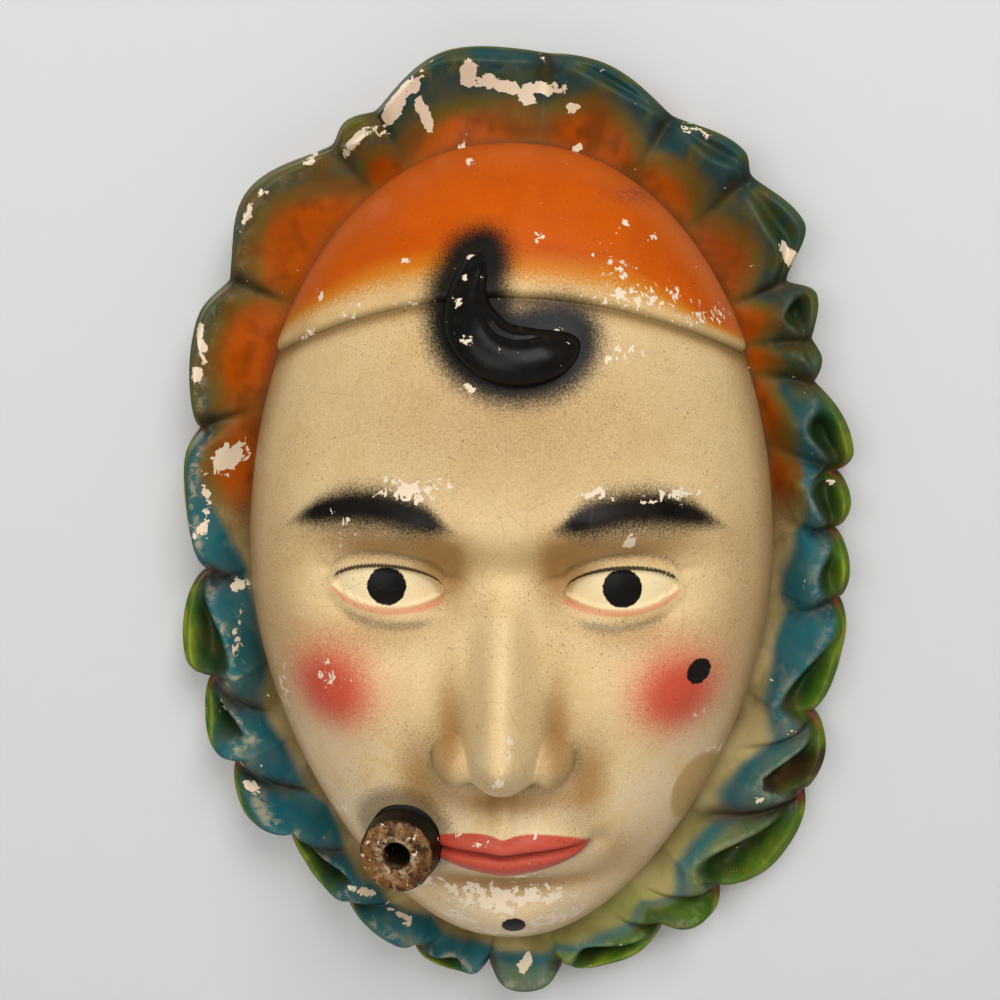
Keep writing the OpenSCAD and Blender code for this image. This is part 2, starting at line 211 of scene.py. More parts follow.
class Head:
    """The plane outline and the relief of the face, in millimetres about the middle of the face."""

    EYE = (27.0, 0.0)
    EYE_HALF = 13.4
    BALL = 17.0
    LID = 1.25
    NOSE_TIP = -34.0
    NOSE_BASE = -45.0
    NOSE_RISE = 21.0
    MOUTH_Z = -61.5
    MOUTH_HALF = 21.0
    BROW_Z = 17.0
    # The broad forms, each a mound with its middle, its two widths and its height.
    RELIEF = (
        (0, 42, 44, 26, 3.0),  # forehead
        (22, 15, 19, 6.0, 3.4),  # brow ridges
        (0, 13, 9, 8, 1.2),
        (0, 4, 9, 6, -3.2),  # bridge of the nose
        (26, 1, 15.5, 9.5, -8.5),  # eye sockets
        (13, 3, 5, 8, -2.6),
        (36, -23, 17, 15, 5.6),  # cheeks
        (33, -45, 16, 19, 2.6),
        (20, -46, 5, 13, -1.4),
        (0, -60, 27, 16, 5.0),  # round the mouth
        (0, -74.5, 17, 4.2, -3.4),
        (0, -87.0, 15.5, 10, 6.2),  # chin
    )

    def __init__(self, sizes):
        self.sizes = sizes
        self.half_w = (FACE_HIGH[0] - FACE_LOW[0]) / 2
        self.half_h = (FACE_HIGH[2] - FACE_LOW[2]) / 2
        turns = np.linspace(-180, 180, 2881)
        points = self.outline(turns)
        self.table_angle = np.degrees(np.arctan2(points[1], points[0]))
        self.table_radius = np.hypot(*points)

    def outline(self, turn):
        """Egg: a flattened ellipse whose lower half loses a fifth of its width towards the chin."""
        c, s = cosine(turn), sine(turn)
        x = self.half_w * np.sign(c) * np.abs(c) ** 0.92 * (1 - 0.2 * np.maximum(0, -s) ** 1.6)
        return np.array([x, self.half_h * s])

    def outward(self, turn):
        """Unit normal of the outline, pointing away from the face."""
        step = self.outline(turn + 0.5) - self.outline(turn - 0.5)
        normal = np.array([step[1], -step[0]])
        return normal / np.hypot(*normal)

    def share(self, x, z):
        """Distance from the middle, as a share of the outline's distance in the same direction."""
        direction = np.degrees(np.arctan2(z, x))
        return np.hypot(x, z) / np.interp(direction, self.table_angle, self.table_radius)

    def dome(self, r):
        """The plain dome: edge plus rise times (1 - r^2.4)^0.55."""
        return self.sizes.edge_depth + self.sizes.dome_rise * np.maximum(0, 1 - r**2.4) ** 0.55

    def lid_lines(self, m):
        """Height of the upper and the lower lid over the distance m from the middle line: two arcs."""
        across = np.maximum(0, 1 - ((m - self.EYE[0]) / self.EYE_HALF) ** 2)
        tilt = (m - self.EYE[0]) * 0.05
        return tilt + 5.4 * across**0.62, tilt - 3.9 * across**0.8

    def eye_opening(self, m, z):
        """One inside the almond between the lids and zero outside it."""
        upper, lower = self.lid_lines(m)
        inside = between(np.abs(m - self.EYE[0]), self.EYE_HALF, self.EYE_HALF - 0.8)
        return between(z, upper + 0.3, upper - 0.3) * between(z, lower - 0.3, lower + 0.3) * inside

    def mouth_lines(self, x):
        """Height of the mouth's line and of the two lips' outer edges over x."""
        across = np.maximum(0, 1 - (x / self.MOUTH_HALF) ** 2)
        line = self.MOUTH_Z + 0.9 * (x / self.MOUTH_HALF) ** 2 - 0.7 * band(x, 4)
        upper = 5.6 * across**0.75 * (1 - 0.2 * band(x, 2.6))
        lower = 6.6 * across**0.8
        return line, upper, lower, across

    def base(self, x, z):
        """Brow, sockets, cheeks, jaw and chin: the dome plus bells, mirrored left to right."""
        r = self.share(x, z)
        return self.dome(r) + summed(np.abs(x), z, self.RELIEF) * (1 - r**12)

    def nose(self, x, z):
        """Height of the nose: a ridge that rises to a round tip, with a wing on each side."""
        m = np.abs(x)
        along = clipped((7 - z) / (7 - self.NOSE_TIP))
        under = clipped((self.NOSE_TIP - z) / (self.NOSE_TIP - self.NOSE_BASE))
        ridge = self.NOSE_RISE * along**1.12 * np.sqrt(np.maximum(0, 1 - under**2.2))
        half = 5.4 + 3.0 * along**2
        spine = ridge * band(m, half, 2.3) + 1.6 * mound(x, z, 0, self.NOSE_TIP, 6, 5)
        wing = 1 - ((m - 10.6) / 6.0) ** 2 - ((z + 38.2) / 6.6) ** 2
        wings = 10.5 * np.sqrt(np.maximum(0, wing))
        nostrils = 3.4 * mound(m, z, 6.2, -43.6, 2.5, 1.5)
        return join_high(spine, wings, 1.6) - nostrils - 0.4

    def mouth(self, x, z):
        """Height of the lips above their mound, with the groove between them and the philtrum."""
        line, upper, lower, across = self.mouth_lines(x)
        fullness = across**0.5
        top = 3.0 * fullness * band(z - line - 0.45 * upper, 0.45 * upper + 0.5)
        low = 4.2 * fullness * band(z - line + 0.48 * lower, 0.48 * lower + 0.5)
        groove = 2.2 * across**0.3 * band(z - line, 0.75)
        corners = 1.8 * mound(np.abs(x), z, self.MOUTH_HALF + 1, self.MOUTH_Z, 3.2, 3.0)
        window = between(z, -58, -54) * between(z, -44, -48)
        philtrum = window * (1.3 * band(x, 2.4) - 0.7 * band(np.abs(x) - 4.2, 1.8))
        return top + low - groove - corners - philtrum

    def depth(self, x, z):
        """Height of the face's front above the wall over (x, z)."""
        m = np.abs(x)
        base = self.base(x, z) + join_high(self.nose(x, z), np.zeros_like(x), 1.4) - 0.3 + self.mouth(x, z)
        ball_apex = self.dome(self.share(*np.array(self.EYE).reshape(2, 1)))[0] - 3.2
        flat2 = (m - self.EYE[0]) ** 2 + (z - self.EYE[1]) ** 2
        ball = ball_apex - self.BALL + np.sqrt(np.maximum(0, self.BALL**2 - flat2))
        upper, lower = self.lid_lines(m)
        radius = self.BALL + self.LID
        lid = ball_apex - self.BALL + np.sqrt(np.maximum(0, radius**2 - flat2))
        near = between(np.sqrt(flat2), 21, 15)
        crease = 0.9 * band(z - upper - 3.6, 0.9) * near * (z > upper)
        pouch = 0.8 * band(z - lower + 4.6, 1.6) * near * (z < lower)
        skin = np.where(near > 0, join_high(base, lid * near + (base - 6) * (1 - near), 2.2), base)
        skin = skin - crease - pouch
        opening = self.eye_opening(m, z)
        return skin * (1 - opening) + (ball - 0.3) * opening

    def brim_share(self, turn):
        """Share of the radius at which the ray at this angle meets the brim's parabola."""
        x, z = self.outline(turn)
        fall = np.maximum(1e-6, self.sizes.brim_fall * (x / self.half_w) ** 2)
        return (-z + np.sqrt(z * z + 4 * fall * self.sizes.brim_height)) / (2 * fall)

    def above_brim(self, x, z):
        """Height over the brim's parabola."""
        return z - self.sizes.brim_height + self.sizes.brim_fall * (x / self.half_w) ** 2

    def place(self, x, z, depth):
        """Points of the row's frame, in metres, from places in the face's plane and depths."""
        return np.stack([x, -depth, z + FACE_MIDDLE_Z], axis=-1) * MM


class Ruff:
    """The frilled collar: a height over the angle about the face and the share of the collar's width."""

    # For each fold, right round from the right: the angle of the notch it starts at and the width there, the
    # angle of its tip and the width there, both as shares of the ruff's width, its pocket's angle, half width
    # in degrees and depth, the share of the width at which its crest runs past the pocket, and its greenness.
    FOLDS = np.array([
        (-20.4, 0.86, -10.0, 1.03, -15.0, 4.5, 0.75, 0.46, 0.15),
        (-5.0, 0.83, -1.5, 0.94, -1.5, 2.6, 0.65, 0.55, 0.15),
        (3.7, 0.72, 7.7, 0.95, 7.3, 3.0, 0.9, 0.48, 0.2),
        (11.2, 0.80, 13.7, 1.03, 15.2, 3.6, 0.85, 0.5, 0.25),
        (23.6, 0.71, 26.9, 0.85, 27.0, 2.0, 0.3, 0.75, 0.35),
        (29.4, 0.81, 34.8, 1.03, 33.0, 2.4, 0.9, 0.55, 0.3),
        (37.9, 0.77, 44.0, 1.25, 45.0, 6.5, 0.5, 0.66, 0.1),
        (53.0, 1.05, 56.0, 1.15, 59.0, 4.5, 0.4, 0.72, 0.1),
        (66.7, 0.92, 79.0, 1.11, 76.0, 6.0, 0.3, 0.8, 0.1),
        (85.5, 1.1, 97.0, 1.17, 92.0, 6.0, 0.1, 0.88, 0.15),
        (110.0, 0.82, 114.2, 0.90, 114.0, 3.0, 0.3, 0.7, 0.9),
        (118.0, 0.80, 131.0, 1.17, 130.0, 8.0, 0.0, 0.88, 0.6),
        (142.3, 0.89, 149.0, 1.07, 150.0, 8.0, 0.0, 0.88, 0.75),
        (163.2, 0.75, 168.0, 0.88, 170.0, 6.0, 0.0, 0.84, 0.15),
        (182.5, 0.55, 193.0, 1.07, 190.0, 4.6, 1.0, 0.42, 0.1),
        (196.6, 0.78, 205.0, 1.13, 200.6, 2.2, 0.8, 0.55, 0.0),
        (208.4, 0.87, 214.5, 1.12, 214.0, 5.0, 0.1, 0.8, 0.0),
        (221.0, 0.68, 227.0, 0.84, 226.0, 3.6, 0.9, 0.45, 0.1),
        (236.0, 0.75, 241.0, 0.80, 242.0, 5.0, 0.1, 0.75, 0.0),
        (250.9, 0.61, 257.0, 0.77, 256.5, 3.4, 0.85, 0.5, 0.1),
        (266.1, 0.49, 273.0, 0.80, 272.0, 5.0, 0.0, 0.85, 0.35),
        (280.2, 0.50, 293.0, 0.90, 290.0, 5.6, 1.0, 0.42, 0.75),
        (300.8, 0.74, 307.0, 1.16, 306.0, 4.0, 0.0, 0.86, 0.95),
        (310.6, 0.94, 323.0, 1.41, 320.5, 6.0, 1.0, 0.44, 0.5),
        (329.4, 1.19, 334.0, 1.25, 334.5, 2.6, 0.9, 0.5, 0.3),
    ])
    START, FOOT, TIP, WIDE, POCKET, SPREAD, DEEP, LEAST, GREEN = range(9)
    # Where the collar starts: this far inside the face's edge, so no gap opens between them.
    INSET = -0.6

    def __init__(self, head):
        self.head = head
        self.sizes = head.sizes
        self.ends = np.append(self.FOLDS[1:, self.START], self.FOLDS[0, self.START] + 360)
        self.next_foot = np.roll(self.FOLDS[:, self.FOOT], -1)

    def fold(self, turn):
        """Index of the fold at each angle, and the angle brought between the first notch and a turn later."""
        start = self.FOLDS[0, self.START]
        wrapped = (turn - start) % 360 + start
        index = np.searchsorted(self.FOLDS[:, self.START], wrapped, side="right") - 1
        return np.clip(index, 0, len(self.FOLDS) - 1), wrapped

    def topness(self, turn):
        """One over the crown and zero from the eyes down."""
        return ease((sine(turn) - 0.1) / 0.6)

    def slanted(self, turn, s):
        """Angle on the rim that a fold runs out to: low on each side, folds slant down towards the chin."""
        low = 1 - self.topness(turn)
        return turn - 13 * low * sine(2 * turn) * (1 - s)

    def swell(self, turn):
        """Zero at a fold's notches, one at its tip, and round between."""
        index, wrapped = self.fold(turn)
        tip = self.FOLDS[index, self.TIP]
        notch = np.where(wrapped < tip, self.FOLDS[index, self.START], self.ends[index])
        power = 0.5 + 1.1 * self.topness(turn)
        return np.sin(np.pi / 2 * clipped((wrapped - notch) / (tip - notch))) ** power

    def width(self, turn):
        """Width of the collar: each fold swells from its notches to its tip."""
        index, wrapped = self.fold(turn)
        rising = wrapped < self.FOLDS[index, self.TIP]
        foot = np.where(rising, self.FOLDS[index, self.FOOT], self.next_foot[index])
        wide = self.FOLDS[index, self.WIDE]
        return self.sizes.ruff_width * (foot + (wide - foot) * self.swell(turn))

    def shape(self, turn, s):
        """What a fold does at each place: its numbers, swell, notch distance, crest, pocket and fall."""
        slanted = self.slanted(turn, s)
        index, wrapped = self.fold(slanted)
        numbers = self.FOLDS[index]
        hole = band(wrapped - numbers[..., self.POCKET], numbers[..., self.SPREAD])
        far = 0.86 + 0.08 * self.topness(slanted)
        crest = far - (far - numbers[..., self.LEAST]) * hole**0.8
        out = clipped((s - crest) / (1 - crest))
        start, end = numbers[..., self.START], self.ends[index]
        place = (wrapped - start) / (end - start)
        notch = np.minimum(wrapped - start, end - wrapped)
        return {
            "turn": slanted, "swell": self.swell(slanted), "place": place, "notch": notch, "crest": crest,
            "out": out, "hole": hole * numbers[..., self.DEEP], "green": numbers[..., self.GREEN],
        }

    def height(self, turn, s):
        """Height above the wall: trough, crest, then the fall into a pocket or round the outer edge."""
        fold = self.shape(turn, s)
        top = self.topness(turn)
        roll_by = 0.04 * sine(turn * 3 + 40) + 0.03 * sine(turn * 7)
        high = self.sizes.ruff_crest * (0.81 + 0.13 * fold["swell"] + roll_by * 0.8)
        low = self.sizes.ruff_seat
        climb = clipped((s - 0.1) / np.maximum(fold["crest"] - 0.1, 0.05))
        inner = low + (high - low) * (ease(climb) ** 0.75 * (1 - top) + climb**1.5 * top)
        rolled = high * (1 - (0.36 - 0.24 * top) * fold["out"] ** 2.4)
        out = fold["out"]
        fall = 0.62 - 0.14 * between(cosine(turn), 0.1, 0.6)
        bowl = 1 - fall * ease(out / 0.45) + 0.3 * ease((out - 0.5) / 0.38) - 0.12 * ease((out - 0.88) / 0.12)
        outer = rolled + (high * bowl - rolled) * np.minimum(1, fold["hole"] * 1.25)
        surface = np.where(s < fold["crest"], inner, outer)
        step = (2.8 + 2.4 * (1 - top)) * between(s, 0.1, 0.6)
        shingle = -step * cosine(turn) * (fold["place"] - 0.5)
        reach = between(s, 0.4 - 0.25 * top, 0.85)
        groove = band(fold["notch"], 0.5 + 1.1 * s, 1.5) * reach
        along = fold["turn"]
        waves = 0.8 * sine(along * 13 + 30 + s * 90) + 0.5 * sine(along * 29 - s * 120)
        waves = waves + 0.7 * sine(along * 6 + 200 * s)
        cut = (surface - 8) * 0.62 * groove * (1 - 0.3 * top)
        surface = surface + shingle + waves * between(s, 0.12, 0.5) - cut
        return self.softened(surface)

    def softened(self, surface):
        """The surface with its creases a little rounded, along the collar and across it."""
        for _ in range(3):
            surface = surface / 2 + (np.roll(surface, 1, axis=1) + np.roll(surface, -1, axis=1)) / 4
            surface[1:-1] = surface[1:-1] / 2 + (surface[:-2] + surface[2:]) / 4
        return surface

    def plane(self, turn, s):
        """Place in the face's plane at share s of the collar's width."""
        reach = self.INSET + (self.width(turn) - self.INSET) * s
        return self.head.outline(turn) + reach * self.head.outward(turn)


# ---- meshes ----


def grid_faces(rows, columns, closed):
    """Quads between the rows of a grid; a closed grid joins its last column to its first."""
    across = np.arange(columns if closed else columns - 1)
    down = np.arange(rows - 1)[:, None]
    left = down * columns + across
    right = down * columns + (across + 1) % columns
    quads = np.stack([left, right, right + columns, left + columns], axis=-1)
    return quads.reshape(-1, 4)


def pole_faces(ring, pole, last):
    """Triangles from a grid's first or last row to one pole."""
    fan = np.stack([ring, np.full_like(ring, pole), np.roll(ring, -1)], axis=-1)
    return fan[:, ::-1] if last else fan


def loop_faces(rows, columns):
    """Quads of a grid that is closed both ways, such as a ring."""
    last = (rows - 1) * columns + np.arange(columns)
    first = np.arange(columns)
    seam = np.stack([last, np.roll(last, -1), np.roll(first, -1), first], axis=-1)
    return np.concatenate([grid_faces(rows, columns, True), seam])


def turned_out(points, faces):
    """The faces, all turned over if the closed surface that they make is inside out."""
    volume = 0.0
    for group in faces:
        corners = points[group]
        for step in range(1, group.shape[1] - 1):
            sides = np.cross(corners[:, step], corners[:, step + 1])
            volume += np.sum(corners[:, 0] * sides)
    return [group[:, ::-1] if volume < 0 else group for group in faces]


def new_piece(name, points, faces, materials, node, body=CASTING):
    """Makes one closed mesh from its points and its groups of faces, and sets its body, node and slot."""
    mesh = bpy.data.meshes.new(name)
    points = points.reshape(-1, 3)
    listed = [face for group in turned_out(points, faces) for face in group.tolist()]
    mesh.from_pydata(points.tolist(), [], listed)
    mesh.polygons.foreach_set("use_smooth", np.ones(len(mesh.polygons), bool))
    for material in materials:
        mesh.materials.append(material)
    mesh.update()
    piece = bpy.data.objects.new(name, mesh)
    bpy.context.scene.collection.objects.link(piece)
    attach(piece, body)
    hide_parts(node)
    return piece


def store(piece, **values):
    """Keeps one number for each vertex under each name."""
    for name, numbers in values.items():
        layer = piece.data.attributes.new(name, "FLOAT", "POINT")
        layer.data.foreach_set("value", np.asarray(numbers, np.float32).ravel())


def closed_tube(rings):
    """Points and faces of a tube, from an array of rings; the middles of its ends follow the rings' points."""
    rows, columns = rings.shape[:2]
    ends = np.stack([rings[0].mean(axis=0), rings[-1].mean(axis=0)])
    points = np.concatenate([rings.reshape(-1, 3), ends])
    first = pole_faces(np.arange(columns), rows * columns, False)
    last = pole_faces((rows - 1) * columns + np.arange(columns), rows * columns + 1, True)
    return points, [grid_faces(rows, columns, True), np.concatenate([first, last])]


# ---- materials ----


class Field:
    """A number that changes over a surface: one socket, with the arithmetic of numbers."""

    def __init__(self, finish, socket):
        self.finish = finish
        self.socket = socket

    def maths(self, operation, *others):
        return self.finish.maths(operation, self, *others)

    def __add__(self, other):
        return self.maths("ADD", other)

    __radd__ = __add__

    def __sub__(self, other):
        return self.maths("SUBTRACT", other)

    def __rsub__(self, other):
        return self.finish.maths("SUBTRACT", other, self)

    def __mul__(self, other):
        return self.maths("MULTIPLY", other)

    __rmul__ = __mul__

    def __truediv__(self, other):
        return self.maths("DIVIDE", other)

    def __pow__(self, other):
        return self.maths("POWER", other)

    def low(self, other):
        return self.maths("MINIMUM", other)

    def size(self):
        return self.maths("ABSOLUTE")

    def rise(self, low, high):
        """Zero at low, one at high, smooth between."""
        return self.finish.step(self, low, high)


class Finish:
    """Builds one material's nodes."""

    def __init__(self, name):
        self.material = bpy.data.materials.new(name)
        self.material.use_nodes = True
        self.tree = self.material.node_tree
        self.tree.nodes.clear()
        self.output = self.node("ShaderNodeOutputMaterial")
        self.place = self.node("ShaderNodeTexCoord").outputs["Object"]

    def node(self, kind, settings=None, sockets=None):
        """Any node: its type, its settings, which are set first, and its sockets' values or links."""
        made = self.tree.nodes.new(kind)
        for key, value in (settings or {}).items():
            setattr(made, key, value)
        for key, value in (sockets or {}).items():
            value = value.socket if isinstance(value, Field) else value
            if isinstance(value, bpy.types.NodeSocket):
                self.tree.links.new(value, made.inputs[key])
            else:
                made.inputs[key].default_value = value
        return made

    def maths(self, operation, *values):
        sockets = dict(enumerate(values))
        return Field(self, self.node("ShaderNodeMath", {"operation": operation}, sockets).outputs[0])

    def step(self, value, low, high):
        settings = {"interpolation_type": "SMOOTHSTEP"}
        sockets = {"Value": value, "From Min": low, "From Max": high}
        return Field(self, self.node("ShaderNodeMapRange", settings, sockets).outputs[0])

    def kept(self, name):
        """The number kept for each vertex under this name."""
        return Field(self, self.node("ShaderNodeAttribute", {"attribute_name": name}).outputs["Fac"])

    def face_place(self):
        """x and z in millimetres, about the middle of the face."""
        split = self.node("ShaderNodeSeparateXYZ", None, {0: self.place})
        x, _, z = (Field(self, socket) / MM for socket in split.outputs)
        return x, z - FACE_MIDDLE_Z

    def shifted(self, offset):
        """Object coordinates moved by an offset, so that two noises don't agree."""
        moved = self.node("ShaderNodeVectorMath", {"operation": "ADD"}, {0: self.place, 1: offset})
        return moved.outputs[0]

    def noise(self, size_mm, detail=2.0, roughness=0.5, distortion=0.0, offset=(0.0, 0.0, 0.0)):
        """Smooth noise about 0.5, whose blotches are about size_mm across."""
        sockets = {
            "Vector": self.shifted(offset),
            "Scale": 1 / (size_mm * MM),
            "Detail": detail,
            "Roughness": roughness,
            "Distortion": distortion,
        }
        return Field(self, self.node("ShaderNodeTexNoise", None, sockets).outputs[0])

    def cracks(self, size_mm, offset=(0.0, 0.0, 0.0)):
        """Distance to the edges of cells about size_mm across, as a share of a cell."""
        settings = {"feature": "DISTANCE_TO_EDGE"}
        sockets = {"Vector": self.shifted(offset), "Scale": 1 / (size_mm * MM)}
        return Field(self, self.node("ShaderNodeTexVoronoi", settings, sockets).outputs["Distance"])

    def mix(self, amount, under, over):
        """The colour under, covered by the colour over by an amount from 0 to 1."""
        under, over = (item if isinstance(item, bpy.types.NodeSocket) else (*item, 1) for item in (under, over))
        return self.node("ShaderNodeMix", {"data_type": "RGBA"}, {0: amount, 6: under, 7: over}).outputs[2]

    def coats(self, under, *layers):
        """The colour under, covered in turn by each layer: an amount and a colour."""
        for amount, over in layers:
            under = self.mix(amount, under, over)
        return under

    def bump(self, height, strength, distance_mm, normal=None):
        sockets = {"Strength": strength, "Distance": distance_mm * MM, "Height": height}
        if normal is not None:
            sockets["Normal"] = normal
        return self.node("ShaderNodeBump", None, sockets).outputs[0]

    def surface(self, **sockets):
        """The finished surface; the keys are the shader's sockets with _ for a space."""
        named = {key.replace("_", " "): value for key, value in sockets.items()}
        shader = self.node("ShaderNodeBsdfPrincipled", None, named)
        self.tree.links.new(shader.outputs[0], self.output.inputs["Surface"])
        return self.material


def apart(x, z, at_x, at_z):
    """Distance in the face's plane from one place."""
    return ((x - at_x) ** 2.0 + (z - at_z) ** 2.0) ** 0.5


def sprayed(mask, grain, grit=0.9):
    """A sprayed mask: solid inside, with grainy droplets where it fades out."""
    fade = mask * (1 - mask) * 4
    return (mask + fade * (grain - 0.5) * grit).rise(0.05, 0.95)


def soft(mask, grain):
    """A brushed and sprayed mask: it fades out evenly, with little grain."""
    return sprayed(mask, grain, 0.45)


def chips(finish, worn, size_mm, offset):
    """Flakes of lost paint: the tops of a noise, more of them where the surface is worn."""
    shape = finish.noise(size_mm, 4.0, 0.62, 0.4, offset)
    return (shape + worn * 0.3).rise(0.735, 0.75)


def painted(finish, paint, colours, worn, gloss, dirt, chip_mm=2.6, offset=(0.0, 0.0, 0.0), ageing=0.22):
    """Old lacquered paint over plaster: mottling, specks, hairlines, flakes and a soft uneven gloss."""
    mottle = finish.noise(9.0, 3.0, 0.55, 0.2, offset)
    fine = finish.noise(0.8, 2.0, 0.6, 0.0, offset)
    crowd = finish.noise(17.0, 2.0, 0.6, 0.4, (0.15, offset[1], 0.66)).rise(0.36, 0.62)
    specks = finish.noise(0.52, 1.0, 0.5, 0.0, (offset[0] + 0.37, 0.11, 0.05)).rise(0.655, 0.72)
    specks = specks * (crowd * 0.85 + 0.15)
    grime = finish.noise(3.2, 4.0, 0.7, 0.6, (0.2, offset[1] + 0.4, 0.1)).rise(0.62, 0.80)
    some = finish.noise(24.0, 1.0, 0.5, 0.0, (0.7, 0.1, offset[2])).rise(0.52, 0.6)
    hairline = finish.cracks(13.0, offset).rise(0.012, 0.002) * some
    flake = chips(finish, worn, chip_mm, offset)
    rim = chips(finish, worn + 0.05, chip_mm, offset) * (1 - flake)
    toned = finish.coats(
        paint,
        ((mottle - 0.35).rise(0.0, 0.6) * ageing, colours.ochre),
        (specks * dirt, tone(52, 40, 26)),
        (grime * dirt * 0.4, tone(96, 74, 44)),
        (hairline * 0.16, tone(84, 68, 46)),
        (rim * 0.25, tone(90, 72, 46)),
        (flake, colours.plaster),
    )
    height = fine * 0.25 + mottle * 0.6 - flake * 1.0 - hairline * 0.1
    return finish.surface(
        Base_Color=toned,
        Roughness=(gloss + (fine - 0.5) * 0.18 + (mottle - 0.5) * 0.2 + flake * 0.4).low(0.95),
        Specular_IOR_Level=0.09,
        Coat_Weight=(1 - flake) * 0.06,
        Coat_Roughness=0.3,
        Normal=finish.bump(height, 0.45, 0.22),
    )


# ---- operators ----


class BuildStep:
    """What every operator shares."""

    bl_options = {"REGISTER", "UNDO"}

    def head(self, context):
        return Head(context.scene.wall_mask_sizes)

    def colours(self, context):
        return context.scene.wall_mask_colours


# The painted spots on the cheek and the chin: place in the face's plane and radius.
BEAUTY_SPOTS = ((45.0, -19.0, 3.0), (2.0, -86.0, 2.9))


def face_colours(finish, colours):
    """The face's paint: cream, shaded with ochre, then smudges and painted shade in the creases, painted shadow under
    the cap's edge, rouge, lips, lines and black.
    """
    x, z = finish.face_place()
    kept = finish.kept
    grain = finish.noise(0.42, 1.0, 0.5)
    coarse = finish.noise(1.1, 2.0, 0.6, 0.0, (0.3, 0.0, 0.2))
    patch = finish.noise(11.0, 3.0, 0.6, 0.4, (0.8, 0.1, 0.3))
    wobble = (coarse - 0.5) * 0.8
    pupil = apart(x.size(), z - Head.EYE[1], Head.EYE[0], 0.9)
    toned = finish.coats(
        colours.cream,
        (patch.rise(0.45, 0.75) * 0.4, tone(214, 178, 116)),
        (kept("pale") * patch.rise(0.66, 0.4) * 0.55, tone(228, 208, 172)),
        (soft(kept("shade"), grain) * 0.85, colours.ochre),
        # Dark grey, part smudge and part painted shade, in the creases, the nostrils and round the stub.
        (sprayed(kept("smudge_and_shade"), grain) * 0.6, tone(88, 76, 56)),
        # Painted shadow just under the cap's edge.
        (kept("brim_shadow") * 0.6, tone(92, 78, 44)),
        (kept("patch") * 0.85, tone(184, 148, 88)),
        (soft(kept("rouge"), grain) * 0.9, colours.rouge),
        (kept("lid_line").rise(0.25, 0.8) * 0.6, tone(214, 122, 92)),
        (kept("lips").rise(0.2, 0.8) * 0.9, colours.lips),
        (kept("mouth_line") * 0.7, tone(120, 26, 24)),
        (kept("eyeball").rise(0.3, 0.7), tone(236, 214, 168)),
        (sprayed(kept("black"), grain, 0.7), colours.black),
        ((pupil + wobble).rise(4.65, 4.35) * kept("eyeball").rise(0.4, 0.6), colours.black),
        (kept("lash").rise(0.3, 0.8) * 0.9, colours.black),
    )
    for at_x, at_z, radius in BEAUTY_SPOTS:
        spot = apart(x, z, at_x, at_z) + wobble * 1.4
        toned = finish.mix(spot.rise(radius + 0.2, radius - 0.15), toned, colours.black)
    return toned


